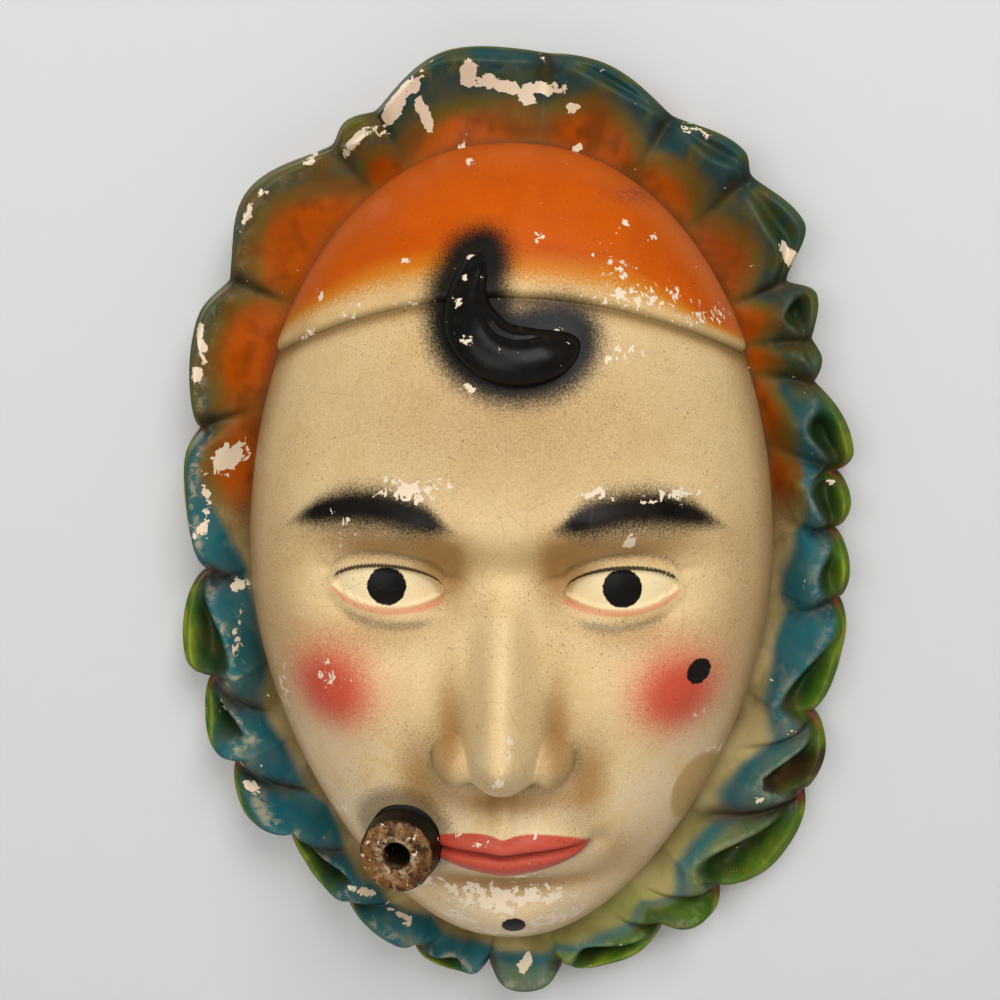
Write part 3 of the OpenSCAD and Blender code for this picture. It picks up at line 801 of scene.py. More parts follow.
class WALLMASK_OT_face(BuildStep, bpy.types.Operator):
    """Build the hollow face casting"""

    bl_idname = "wall_mask.face"
    bl_label = "Face"

    RAYS = 380
    FRONT_RINGS = 200
    BACK_RINGS = 44
    # Sprayed shading in the hollows, each a mound with its middle, its two widths and its strength.
    SHADE = (
        (13.5, 6, 6, 9, 0.75),  # beside the nose's bridge
        (30, 11.0, 16, 4.5, 0.5),  # under the brow
        (12, -30, 3.6, 13, 0.6),  # along the nose
        (19.5, -44, 5.5, 12, 0.55),
        (0, -48.5, 12, 3.6, 0.7),  # under the nose
        (0, -73, 20, 4, 0.75),  # under the lips
        (26, -66, 8, 8, 0.35),
        (57, -8, 10, 34, 0.3),  # down the sides
    )

    def execute(self, context):
        head = self.head(context)
        colours = self.colours(context)
        turn = right_round(self.RAYS)
        edge = head.outline(turn)
        centre = np.array([[0.0], [-28.0]])
        v = np.arange(1, self.FRONT_RINGS + 1) / self.FRONT_RINGS
        rho = (v * (1.16 - 0.16 * v**6))[:, None]
        x = centre[0] + (edge[0] - centre[0]) * rho
        z = centre[1] + (edge[1] - centre[1]) * rho
        back, painted_rings = self.back_rings(head, turn, edge)
        rings = np.concatenate([head.place(x, z, head.depth(x, z)), back])
        poles = np.concatenate([
            head.place(centre[0], centre[1], head.depth(centre[0], centre[1])),
            head.place(np.zeros(1), np.zeros(1), np.full(1, head.sizes.hollow_depth)),
        ])
        points = np.concatenate([rings.reshape(-1, 3), poles])
        count = rings.shape[0] * self.RAYS
        quads = grid_faces(rings.shape[0], self.RAYS, True)
        first = pole_faces(np.arange(self.RAYS), count, False)
        last = pole_faces(count - self.RAYS + np.arange(self.RAYS), count + 1, True)
        materials = [self.paint(colours), bare_plaster("cast_plaster_back", colours)]
        piece = new_piece("face_cast", points, [quads, first, last], materials, "face_shell")
        slots = np.zeros(len(piece.data.polygons), np.int32)
        slots[(self.FRONT_RINGS + painted_rings) * self.RAYS: len(quads)] = 1
        slots[len(quads) + self.RAYS:] = 1
        piece.data.polygons.foreach_set("material_index", slots)
        rows = back.shape[0]
        wide_x = np.concatenate([x.ravel(), np.tile(edge[0], rows), centre[0], [0.0]])
        wide_z = np.concatenate([z.ravel(), np.tile(edge[1], rows), centre[1], [0.0]])
        store(piece, **self.masks(head, wide_x, wide_z))
        return {"FINISHED"}

    def back_rings(self, head, turn, edge):
        """Rings down the straight edge, across the flat rim and up the rough hollow."""
        inner = edge - head.sizes.wall * head.outward(turn)
        flat = np.zeros_like(turn)
        rings = [head.place(*edge, flat + depth) for depth in (9.0, 4.5, 0.9)]
        rings += [head.place(*(edge - slip * head.outward(turn)), flat) for slip in (0.3, 0.9)]
        painted_rings = len(rings) - 2
        rings += [head.place(*(edge + (inner - edge) * share), flat) for share in (0.35, 0.7, 0.92)]
        hollow = self.BACK_RINGS - len(rings)
        for step in range(hollow):
            r = math.cos(math.pi / 2 * step / (hollow + 0.5))
            lumps = 0.5 * np.sin(np.radians(turn * 5) + step * 0.4) + 0.35 * np.sin(np.radians(turn * 11) - step * 0.7)
            height = head.sizes.hollow_depth * max(0.0, 1 - r**2.2) ** 0.55
            soft = min(1.0, step / 6) * min(1.0, (hollow - step) / 10)
            depth = 0.25 + height - 0.8 * soft * (1 + lumps)
            rings.append(head.place(*(inner * r), np.maximum(depth, 0)))
        return np.stack(rings), painted_rings

    def masks(self, head, x, z):
        """Where each paint lies: bells and bands over the face's plane, and shading in its hollows."""
        m = np.abs(x)
        upper, lower = head.lid_lines(m)
        line, top, low, across = head.mouth_lines(x)
        opening = head.eye_opening(m, z)
        beside = between(np.abs(m - head.EYE[0]), head.EYE_HALF + 1.6, head.EYE_HALF - 1.0)
        brow_line = head.BROW_Z + 3.4 - ((m - 30) / 20) ** 2 * 6.0 + np.maximum(0, 22 - m) * 0.05
        brow_half = 4.3 * between(m, 8, 22) * between(m, 55, 34) + 0.8
        below = np.where(z < brow_line, 1.25, 0.95)
        brow = band(z - brow_line, brow_half * below, 1.9) * between(m, 7, 17) * between(m, 56, 43)
        lip = across**0.2 * between(z, line + top + 0.5, line + top - 0.5)
        lip = lip * between(z, line - low - 0.8, line - low + 0.8)
        near_brim = band(head.above_brim(x, z), 2.2)
        r = head.share(x, z)
        shade = summed(m, z, self.SHADE) + 0.5 * near_brim + 0.35 * between(r, 0.88, 1.0)
        shade = shade + 0.34 * mound(x, z, 0, 42, 46, 22) + 0.28 * mound(m, z, 30, -10, 16, 5) + 0.25
        # Dark grey, part smudge and part painted shade: under the lower lids, in the lid creases, round the cigar
        # stub, in the nose's wing creases, in the nostrils, under the nose's tip and along the face's edge.
        smudge_and_shade = 0.8 * band(z - lower + 4.2, 1.3) * between(np.abs(m - 27), 14, 7) * (z < lower)
        crease = 0.65 * band(z - upper - 3.4, 0.9) * beside * (z > upper)
        stub = np.hypot(x + head.MOUTH_HALF + 3, z - head.MOUTH_Z - 2)
        stub_shade = 0.9 * between(stub, 15.5, 9.5)
        alar = 0.5 * mound(m, z, 17, -38, 1.6, 6)
        smudge_and_shade = smudge_and_shade + crease + stub_shade + alar + 0.8 * mound(m, z, 6.0, -44.0, 2.6, 1.7)
        smudge_and_shade = smudge_and_shade + 0.4 * mound(m, z, 0, -38, 5, 6) + 0.25 * between(r, 0.93, 1.0)
        lid_line = band(z - lower + 0.9, 0.8) * beside
        lash = between(z, upper - 0.5, upper) * between(z, upper + 1.3, upper + 0.6)
        lash = lash * between(np.abs(m - head.EYE[0]), head.EYE_HALF + 0.6, head.EYE_HALF - 2.0)
        return {
            "shade": clipped(shade),
            "smudge_and_shade": clipped(smudge_and_shade),
            "rouge": band(np.hypot((m - 40) / 12.5, (z + 23) / 12.0), 1, 1.9) * between(r, 0.99, 0.9),
            "lid_line": lid_line,
            "lips": clipped(lip),
            "mouth_line": band(z - line, 0.7) * across**0.3,
            "eyeball": opening,
            "black": clipped(brow + Curl(head.sizes).halo(x, z)),
            # Painted shadow just under the cap's raised edge.
            "brim_shadow": band(head.above_brim(x, z) + 0.5, 0.8),
            "patch": between(np.hypot((x - 47) / 7.0, (z + 54) / 10.5), 1.1, 0.95),
            "pale": between(z, -24, -50),
            "lash": lash,
            "worn": self.worn(x, z),
        }

    def worn(self, x, z):
        """Places that have lost paint: spatters of small flakes, and a ring of them round the rubbed jaw."""
        places = (
            (-22, 24, 9, 3.2, 0.95), (-36, 14, 5, 7, 0.62), (-15, 25, 5, 3, 0.9), (22, 24, 6, 2.6, 0.8),
            (38, 22, 11, 2.2, 0.85), (29, 13, 2.0, 2.0, 1.1), (27, 54, 7, 3.5, 0.75), (12, 58, 5, 3, 0.6),
            (-18, -76, 9, 4, 0.85), (0, -78, 20, 5.5, 1.05), (-12, -85, 9, 4, 1.0), (12, -86, 11, 4, 1.05),
            (0, -90, 16, 4, 0.95),
            (4, -70, 9, 2.2, 0.85), (0, -37, 2.2, 3, 0.95), (-7, -57.5, 8, 2, 0.75), (-55, -30, 3, 14, 0.72),
            (-42, -58, 5, 7, 0.66), (2, -30, 2, 6, 0.7), (44, -30, 4, 4, 0.6), (-40, -20, 5, 5, 0.6),
            (10, -55, 6, 2, 0.6), (-30, -70, 5, 4, 0.55), (34, -78, 6, 4, 0.5), (-8, 47, 3, 2, 0.8),
        )
        round_jaw = np.hypot((x - 47) / 7.0, (z + 54) / 10.5)
        rubbed = 0.85 * band(round_jaw - 1.12, 0.22) * between(x + z / 2, 17, 30)
        # The chin's painted spot stays whole.
        at_x, at_z, _ = BEAUTY_SPOTS[1]
        return np.maximum(highest(x, z, places), rubbed) * between(np.hypot(x - at_x, z - at_z), 2.8, 4.2)

    def paint(self, colours):
        finish = Finish("face_paint")
        toned = face_colours(finish, colours)
        return painted(finish, toned, colours, finish.kept("worn"), gloss=0.4, dirt=0.6, ageing=0.05)


def bare_plaster(name, colours):
    """Rough unpainted plaster: trowel lumps, pits and dust."""
    finish = Finish(name)
    lumps = finish.noise(7.0, 4.0, 0.6)
    grain = finish.noise(0.7, 3.0, 0.7)
    crowd = finish.noise(15.0, 2.0, 0.6, 0.5, (0.3, 0.3, 0.1)).rise(0.4, 0.65)
    pits = finish.noise(1.3, 2.0, 0.6, 0.3, (0.1, 0.2, 0.3)).rise(0.27, 0.19) * crowd
    strokes = finish.noise(10.0, 3.0, 0.6, 1.6, (0.9, 0.2, 0.4))
    dust = finish.noise(22.0, 3.0, 0.6, 0.3, (0.5, 0.1, 0.0)).rise(0.42, 0.72)
    toned = finish.coats(
        colours.plaster,
        (dust * 0.55, tone(196, 176, 140)),
        (strokes.rise(0.5, 0.7) * 0.35, tone(214, 204, 186)),
        (pits * 0.5, tone(150, 132, 104)),
    )
    height = lumps * 1.0 + strokes * 1.6 + grain * 0.35 - pits * 0.6
    return finish.surface(Base_Color=toned, Roughness=0.92, Normal=finish.bump(height, 0.7, 0.5))


class Curl:
    """The forelock: a comma that hooks down from its top on the left, round the bottom, to the right."""

    FROM, TO = 118.0, 338.0
    X, Z = 2.0, 64.0

    def __init__(self, sizes):
        self.sizes = sizes

    def middle(self, t):
        """Middle of the comma: an arc whose radius grows towards both ends."""
        angle = np.radians(self.FROM + (self.TO - self.FROM) * t)
        spread = self.sizes.curl_radius * (1 + 0.45 * np.abs(2 * t - 1) ** 3)
        return self.X + spread * np.cos(angle), self.Z + spread * np.sin(angle), angle

    def half(self, t):
        """Half the width: a thin tail at the top, then full, with a blunt end."""
        blunt = np.sqrt(np.maximum(0, 1 - (clipped(t - 0.84) / 0.16) ** 2))
        return self.sizes.curl_half * (0.06 + (0.52 + 0.52 * ease(t / 0.42)) * np.sqrt(clipped(t / 0.06)) * blunt)

    def distance(self, x, z):
        """Distance outside the comma's edge."""
        steps = np.linspace(0, 1, 60)
        at_x, at_z, _ = self.middle(steps)
        nearest = np.full_like(x, 1e3)
        for px, pz, half in zip(at_x, at_z, self.half(steps)):
            nearest = np.minimum(nearest, np.hypot(x - px, z - pz) - half)
        return nearest

    def halo(self, x, z):
        """Black overspray round the comma: it fades out over several millimetres."""
        return 0.97 * between(self.distance(x, z), 10.5, -0.5) ** 1.25


class WALLMASK_OT_forelock(BuildStep, bpy.types.Operator):
    """Build the raised forelock"""

    bl_idname = "wall_mask.forelock"
    bl_label = "Forelock"

    STEPS = 200
    SIDES = 72
    # Places that have lost paint: place in the face's plane and radius.
    RUBBED = ((-8.5, 57.5, 3.0), (-10.5, 66.0, 2.2), (-8.0, 75.5, 2.0), (-9.0, 71.0, 1.6), (12.0, 60.5, 2.0))

    def execute(self, context):
        head = self.head(context)
        curl = Curl(head.sizes)
        t = np.linspace(0, 1, self.STEPS)[:, None]
        side = np.radians(right_round(self.SIDES))[None, :]
        mid_x, mid_z, angle = curl.middle(t)
        half = curl.half(t)
        x = mid_x + half * np.cos(side) * np.cos(angle)
        z = mid_z + half * np.cos(side) * np.sin(angle)
        strand = 0.9 * band(np.cos(side) + 0.55, 0.12)
        up = np.sin(side)
        rise = head.sizes.curl_rise * half / head.sizes.curl_half
        lift = np.where(up > 0, rise * np.abs(up) ** 0.8 - strand * between(half, 1.5, 4.5), up)
        rings = head.place(x, z, head.depth(x, z) + lift)
        new_piece("forelock_curl", *closed_tube(rings), [self.paint(context)], "forelock")
        return {"FINISHED"}

    def paint(self, context):
        colours = self.colours(context)
        finish = Finish("forelock_paint")
        mottle = finish.noise(2.2, 3.0, 0.6)
        toned = finish.mix(mottle.rise(0.5, 0.8) * 0.3, colours.black, tone(46, 38, 32))
        x, z = finish.face_place()
        worn = 0.12
        for at_x, at_z, radius in self.RUBBED:
            worn = apart(x, z, at_x, at_z).rise(radius, 0.0) * 0.9 + worn
        return painted(
            finish, toned, colours, worn, gloss=0.3, dirt=0.06, chip_mm=2.0, offset=(0.2, 0.3, 0.1), ageing=0.02
        )


class WALLMASK_OT_cap(BuildStep, bpy.types.Operator):
    """Build the cap over the crown"""

    bl_idname = "wall_mask.cap"
    bl_label = "Cap"

    ALONG = 360
    ACROSS = 110
    # The brim runs out where it meets this share of the head's outline.
    RUN_OUT = 0.985

    def execute(self, context):
        head = self.head(context)
        end = self.run_out(head)
        turn = np.linspace(end, 180 - end, self.ALONG)[None, :]
        flat_turn = turn.ravel()
        v = np.linspace(0, 1, self.ACROSS)[:, None]
        start = np.minimum(self.RUN_OUT, head.brim_share(flat_turn))[None, :]
        share = start + (1 - start) * np.sin(np.pi / 2 * v**0.9)
        edge = head.outline(flat_turn)
        x, z = edge[0] * share, edge[1] * share
        grown = edge + head.sizes.cap_wall * head.outward(flat_turn)
        gap = np.hypot(x - x[:1], z - z[:1])
        ends = np.minimum(flat_turn - end, 180 - end - flat_turn)[None, :] * 1.6
        roll = np.sqrt(np.maximum(0, 1 - (1 - clipped(np.minimum(gap, ends) / 2.0)) ** 2))
        lift = head.sizes.cap_wall * roll
        out_x = x + (grown[0] * share - x) * roll
        out_z = z + (grown[1] * share - z) * roll
        over = head.place(out_x, out_z, head.depth(x, z) + lift)
        under = head.place(x * 0.999, z * 0.999, head.depth(x, z) - 0.35)
        points = np.concatenate([over.reshape(-1, 3), under.reshape(-1, 3)])
        quads = grid_faces(self.ACROSS, self.ALONG, False)
        size = self.ACROSS * self.ALONG
        border = np.concatenate([
            np.arange(self.ALONG),
            np.arange(1, self.ACROSS) * self.ALONG + self.ALONG - 1,
            (self.ACROSS - 1) * self.ALONG + np.arange(self.ALONG - 2, -1, -1),
            np.arange(self.ACROSS - 2, 0, -1) * self.ALONG,
        ])
        after = np.roll(border, -1)
        rim = np.stack([after, border, border + size, after + size], axis=-1)
        faces = [quads, quads[:, ::-1] + size, rim]
        piece = new_piece("cap_cast", points, faces, [self.paint(context)], "skull_cap")
        above = head.above_brim(x, z)
        reach = 12.0 - 8.5 * between(x, 22, 50) - 4.0 * between(x, -22, -50)
        keep = {
            "fade": clipped((above + 1.0 * np.sin(x / 15 + 1) - 0.5 * between(x, 20, -20)) / reach),
            "halo": Curl(head.sizes).halo(x, z),
            # Painted shade along the cap's brim edge.
            "seam": band(above, 1.0),
            # Painted sheen along the cap's outline, strongest at the sides.
            "side": between(head.share(x, z), 0.91, 0.985) * (0.3 + 0.7 * between(np.abs(x), 22, 50)),
            "stain": mound(x, z, 30, 89, 6, 2.4),
            "worn": self.worn(x, z),
        }
        store(piece, **{name: np.concatenate([mask.ravel()] * 2) for name, mask in keep.items()})
        return {"FINISHED"}

    def worn(self, x, z):
        """Small flakes: along the brim on the right, and a few over the crown."""
        return highest(x, z, (
            (30, 66, 14, 3.6, 0.8), (44, 61, 10, 3, 0.78), (24, 72, 6, 6, 0.62), (8, 79, 2.4, 2.4, 0.78),
            (26, 82, 1.8, 1.8, 0.75), (33, 79, 1.5, 1.5, 0.9), (-20, 62.5, 6, 6, 0.6), (-34, 60, 5, 5, 0.75),
            (-46, 56, 3, 3, 0.9), (-43, 66, 1.6, 1.6, 1.0), (-22, 74, 1.4, 1.4, 1.0), (52, 76, 1.8, 1.8, 1.0),
            (44, 89, 2.0, 2.0, 0.9), (-9, 96, 1.4, 1.4, 1.0), (57, 58, 2.6, 2.6, 0.7),
        ))

    def run_out(self, head):
        """Angle at which the brim reaches the edge of the dome, by halving."""
        low, high = 5.0, 60.0
        for _ in range(20):
            middle = (low + high) / 2
            if head.brim_share(middle) > self.RUN_OUT:
                low = middle
            else:
                high = middle
        return (low + high) / 2

    def paint(self, context):
        colours = self.colours(context)
        finish = Finish("cap_paint")
        grain = finish.noise(0.42, 1.0, 0.5)
        coarse = finish.noise(1.3, 2.0, 0.6, 0.0, (0.3, 0.0, 0.2))
        patch = finish.noise(16.0, 3.0, 0.55, 0.2, (0.1, 0.5, 0.2))
        kept = finish.kept
        thin = finish.mix((patch - 0.3).rise(0.0, 0.5) * 0.7, tone(218, 182, 126), tone(176, 136, 80))
        full = finish.coats(
            colours.orange,
            (patch.rise(0.4, 0.66) * 0.6, tone(184, 74, 0)),
            # Painted sheen along the outline, in pale orange.
            (kept("side") * 0.55, colours.sheen_salmon),
        )
        toned = finish.coats(
            thin,
            (
                sprayed(kept("fade").rise(0.0, 0.75), grain, 1.4),
                finish.mix(kept("fade").rise(0.4, 1.0), tone(204, 126, 30), full),
            ),
            (coarse.rise(0.66, 0.8) * 0.3, tone(120, 52, 12)),
            (grain.rise(0.56, 0.72) * kept("fade") * 0.22, tone(146, 60, 0)),
            (kept("stain") * coarse.rise(0.4, 0.56) * 0.6, tone(120, 62, 52)),
            # Painted shade along the brim edge.
            (kept("seam") * 0.55, tone(96, 76, 40)),
            (sprayed(kept("halo"), grain, 0.6), colours.black),
        )
        return painted(
            finish, toned, colours, kept("worn"),
            gloss=0.4, dirt=0.45, chip_mm=1.7, offset=(0.5, 0.1, 0.3), ageing=0.05,
        )


class WALLMASK_OT_ruff(BuildStep, bpy.types.Operator):
    """Build the frilled ruff"""

    bl_idname = "wall_mask.ruff"
    bl_label = "Ruff"

    RAYS = 1100
    FRONT_RINGS = 62
    # The rings of the outer wall, which are painted too, before the bare back starts.
    PAINTED_WALLS = 5

    def execute(self, context):
        head = self.head(context)
        ruff = Ruff(head)
        turn = right_round(self.RAYS)[None, :] * np.ones((self.FRONT_RINGS, 1))
        s = np.linspace(0, 1, self.FRONT_RINGS)[:, None] ** 0.85 * np.ones_like(turn)
        flat = turn.ravel()
        x, z = ruff.plane(flat, s.ravel()).reshape(2, *turn.shape)
        depth = ruff.height(turn, s)
        front = head.place(x, z, depth)
        edge_x, edge_z, edge_depth = x[-1], z[-1], depth[-1]
        normal = head.outward(turn[0])
        walls = []
        for share, grow in ((0.97, 0.5), (0.85, 1.0), (0.6, 1.3), (0.35, 1.1), (0.12, 0.9), (0.0, 0.5)):
            walls.append(head.place(edge_x + normal[0] * grow, edge_z + normal[1] * grow, edge_depth * share))
        for share in (0.97, 0.5, 0.03):
            plane = ruff.plane(turn[0], np.full(self.RAYS, share))
            walls.append(head.place(plane[0], plane[1], np.zeros(self.RAYS)))
        walls.append(head.place(x[0], z[0], depth[0] * 0.5))
        rings = np.concatenate([front, np.stack(walls)])
        quads = loop_faces(rings.shape[0], self.RAYS)
        colours = self.colours(context)
        materials = [self.paint(colours), bare_plaster("cast_plaster_ruff", colours)]
        piece = new_piece("ruff_cast", rings, [quads], materials, "ruff")
        slots = np.zeros(len(quads), np.int32)
        slots[(self.FRONT_RINGS + self.PAINTED_WALLS) * self.RAYS:] = 1
        piece.data.polygons.foreach_set("material_index", slots)
        keep = self.masks(ruff, turn, s, x, z)
        tails = self.wall_masks(turn[0], len(walls), keep)
        store(piece, **{name: np.concatenate([keep[name].ravel(), tails[name].ravel()]) for name in keep})
        return {"FINISHED"}

    def masks(self, ruff, turn, s, x, z):
        """Where each paint lies on the collar: bands over its width, pockets, painted shadow in the grooves and worn
        places.
        """
        fold = ruff.shape(turn, s)
        top = ruff.topness(turn)
        crest, out, hole = fold["crest"], fold["out"], np.minimum(1, fold["hole"] * 1.2)
        fiery = between(sine(turn), -0.12, 0.3)
        drift = 0.06 * sine(turn * 5 + 70) + 0.05 * sine(turn * 11)
        petal = np.sin(np.pi * clipped(fold["place"]))
        leftward = between(x, -20, -60)
        rightward = between(x, 20, 60)
        low_left = leftward * between(sine(turn), 0.1, -0.2)
        groove = band(fold["notch"], (0.7 + 0.9 * s) * (1 + 0.4 * low_left))
        groove = groove * between(s, 0.3 - 0.2 * np.maximum(top, low_left), 0.8 - 0.35 * low_left)
        # Painted shade on the lee side of each low fold on the left.
        lee_shade = 0.42 * low_left * between(fold["place"], 0.7, 1.0) * between(s, 0.1, 0.5) * between(s, 1.0, 0.85)
        level = rightward * between(np.abs(z - 8), 42, 22)
        start = 0.34 - 0.16 * level + drift + fiery * (0.1 * petal + 0.22 * leftward)
        start = start - (0.1 + 0.08 * rightward) * (1 - fiery) * petal - 0.2 * leftward * (1 - fiery)
        painted_on = between(s, start, start + 0.24 + 0.1 * top)
        green = fold["green"]
        leafy = green * between(s, start + 0.1, start + 0.36)
        past = (s > crest - 0.06) * (1 - top)
        leaves = painted_on * leafy * 1.1 + past * between(out, 0.0, 0.5) * (0.55 + 0.35 * between(x, -20, 40))
        rim = between(s, 0.9, 1.0) * (1 - 0.85 * top) + hole * (1 - 0.6 * top) * between(out, 0.55, 0.95)
        # Painted shadow in the notches between the folds, on their lee sides and in the strip next to the face.
        groove_shadows = groove * (0.9 + 0.3 * leftward) + lee_shade + between(s, 0.2 + 0.08 * leftward, 0.02) * 0.8
        flame = fiery * between(s, start + 0.16, start - 0.2) * (0.45 + 0.55 * petal) * between(s, -0.05, 0.14)
        # Painted shadow in the dark hole between two folds on the right, and in the pocket after it.
        gap = (fold["turn"] - 329.6 + 180) % 360 - 180
        crown = between(sine(turn), 0.1, 0.5) + 0 * s
        hole_shadow = band(gap, 2.0) * between(s, 0.05, 0.3) + 1.7 * fold["hole"] * band(gap - 4.6, 3.0) * (s > crest)
        return {
            "orange": flame * (1 - 0.6 * groove),
            "olive": fiery * (1 - groove * 0.4),
            "leaf": green * (1 - fiery),
            "teal": painted_on * (1 - leafy),
            "green": clipped(leaves) * (1 - 0.6 * crown),
            # The pockets' floors, which take a darker green as painted shade.
            "pocket": clipped(hole * 1.15 * band(out - 0.36, 0.38) * (s > crest)),
            "rim": clipped(rim),
            # Painted shadow in the grooves.
            "groove": clipped(groove_shadows),
            "red": band(fold["notch"], 1.6) * between(s, 0.86, 0.98) * (1 - top) * 0.8,
            "hole_shadow": clipped(hole_shadow),
            "dust": band(s - crest + 0.05, 0.07) * (1 - 0.8 * top) * (0.35 + 0.65 * between(x, 20, -30)),
            "crown": crown,
            "worn": self.worn(x, z),
        }

    def wall_masks(self, turn, rows, keep):
        """The outer wall keeps the edge's paint, greener, with red low down."""
        step = np.linspace(0, 1, rows)[:, None] * np.ones_like(turn)[None, :]
        tails = {name: mask[-1] * np.ones_like(step) for name, mask in keep.items()}
        tails["rim"] = clipped(tails["rim"] + 0.4) * between(step, 0.7, 0.2)
        tails["teal"] = tails["teal"] * 0.5
        tails["red"] = between(step, 0.1, 0.45) * (0.5 + 0.4 * sine(turn * 7))[None, :]
        return tails

    def worn(self, x, z):
        """Places that have lost paint, most of all along the crown's crest: each is a slanting oval."""
        places = (
            (-27, 111, 9, 2.0, 50, 1.4), (-21, 109, 5.0, 1.5, 110, 1.3), (-37, 102.5, 4.5, 1.5, 40, 1.3),
            (-10, 118, 2.4, 3.4, 0, 1.3), (-3, 116, 7, 1.6, -12, 1.4), (7, 115, 6, 1.6, 0, 1.35),
            (4, 113, 2.5, 3.0, 0, 1.2), (15, 110, 1.6, 1.6, 0, 1.3), (-12, 102, 2.2, 1.2, 60, 1.0),
            (16, 101, 1.8, 1.2, 45, 1.0), (-62, 87, 6, 1.4, 55, 0.72), (-76, 55, 1.3, 6.0, 8, 1.0),
            (-77, 46, 1.5, 2.4, 0, 1.0), (-71, 25, 4.4, 3.0, 40, 1.4), (-76, 13, 1.1, 7, 0, 0.8),
            (-78, 7, 3.0, 2.4, 0, 1.1), (-70, -9, 2.2, 2.2, 0, 1.1), (-70, -21, 1.1, 7, 0, 0.9),
            (-75, -42, 2.0, 3, 0, 0.9), (-72, -56, 3.0, 1.4, 0, 1.1), (-68, -62, 4, 1.1, -30, 0.9),
            (-38, -89, 4.5, 1.3, -40, 1.0), (-28, -97, 4.5, 1.1, -30, 0.9), (4, -109, 2.6, 1.6, 45, 1.3),
            (67, 76, 3.4, 1.6, -50, 1.4), (70, 72, 1.4, 2.4, 0, 1.0), (80, 19, 1.5, 1.2, 0, 1.1),
            (44, 105, 4, 1.6, -30, 0.7), (72, -44, 1.4, 1.4, 0, 1.0), (64, -62, 2, 1.4, 0, 0.9),
            (-48, 98, 2.4, 1.4, 30, 0.8), (60, -80, 2.0, 1.4, 0, 0.6), (30, -103, 3, 1.4, 20, 0.6),
        )
        total = np.full_like(x, 0.1)
        for at_x, at_z, length, width, slant, amount in places:
            c, s = math.cos(math.radians(slant)), math.sin(math.radians(slant))
            along = (x - at_x) * c + (z - at_z) * s
            across = (z - at_z) * c - (x - at_x) * s
            spread = (np.abs(along) / length) ** 2.6 + (np.abs(across) / width) ** 2.6
            total = np.maximum(total, 1.08 * amount * np.exp(-0.8 * spread))
        return total

    def paint(self, colours):
        finish = Finish("ruff_paint")
        grain = finish.noise(0.5, 1.0, 0.5)
        patch = finish.noise(12.0, 3.0, 0.55, 0.3, (0.1, 0.5, 0.2))
        streak = finish.noise(8.0, 2.0, 0.5, 0.3, (0.4, 0.4, 0.8))
        kept = finish.kept
        slow = (patch - 0.5) * 0.36
        thin = 1.0 - streak.rise(0.52, 0.74) * 0.22
        scuff = finish.noise(3.4, 3.0, 0.65, 0.5, (0.6, 0.2, 0.1)).rise(0.46, 0.62)
        sand = finish.mix(patch.rise(0.35, 0.65) * 0.8, tone(186, 164, 116), tone(124, 104, 62))
        dusk = finish.mix(streak.rise(0.35, 0.65), tone(92, 84, 28), tone(112, 70, 20))
        flame = finish.mix(streak.rise(0.42, 0.72) * 0.7, tone(176, 75, 0), tone(100, 44, 2))
        bright = finish.mix(patch.rise(0.4, 0.62), colours.teal, tone(38, 98, 102))
        deep = finish.mix(streak.rise(0.42, 0.66), tone(30, 66, 68), tone(58, 72, 38))
        olive = finish.mix(streak.rise(0.4, 0.6), colours.green, tone(52, 82, 34))
        fresh = finish.mix(patch.rise(0.42, 0.58), tone(134, 146, 30), tone(76, 106, 26))
        toned = finish.coats(
            sand,
            (kept("leaf") * 0.7, tone(142, 150, 74)),
            (soft(kept("olive"), grain) * 0.95, dusk),
            (soft(kept("orange"), grain) * 0.95, flame),
            ((kept("teal") + slow * kept("teal")).rise(0.1, 0.9) * thin, finish.mix(kept("crown"), bright, deep)),
            ((kept("green") + slow * kept("green")).rise(0.1, 0.9), olive),
            # A darker green in the pockets' floors as painted shade.
            (kept("pocket").rise(0.1, 0.85) * 0.9, colours.shaded_green),
            (kept("dust") * scuff * 0.62, tone(184, 168, 132)),
            (soft(kept("rim"), grain) * 0.9, finish.mix(kept("crown") * 0.85, fresh, tone(54, 80, 42))),
            # Painted shadow in the grooves, in dark brown.
            (kept("groove") * 0.75, tone(42, 32, 16)),
            # Painted shadow in that hole and pocket.
            (kept("hole_shadow") * 0.92, tone(40, 30, 20)),
            (soft(kept("red"), grain) * 0.8, colours.red),
        )
        return painted(
            finish, toned, colours, kept("worn"), gloss=0.44, dirt=0.35, chip_mm=3.0, offset=(0.9, 0.4, 0.6)
        )


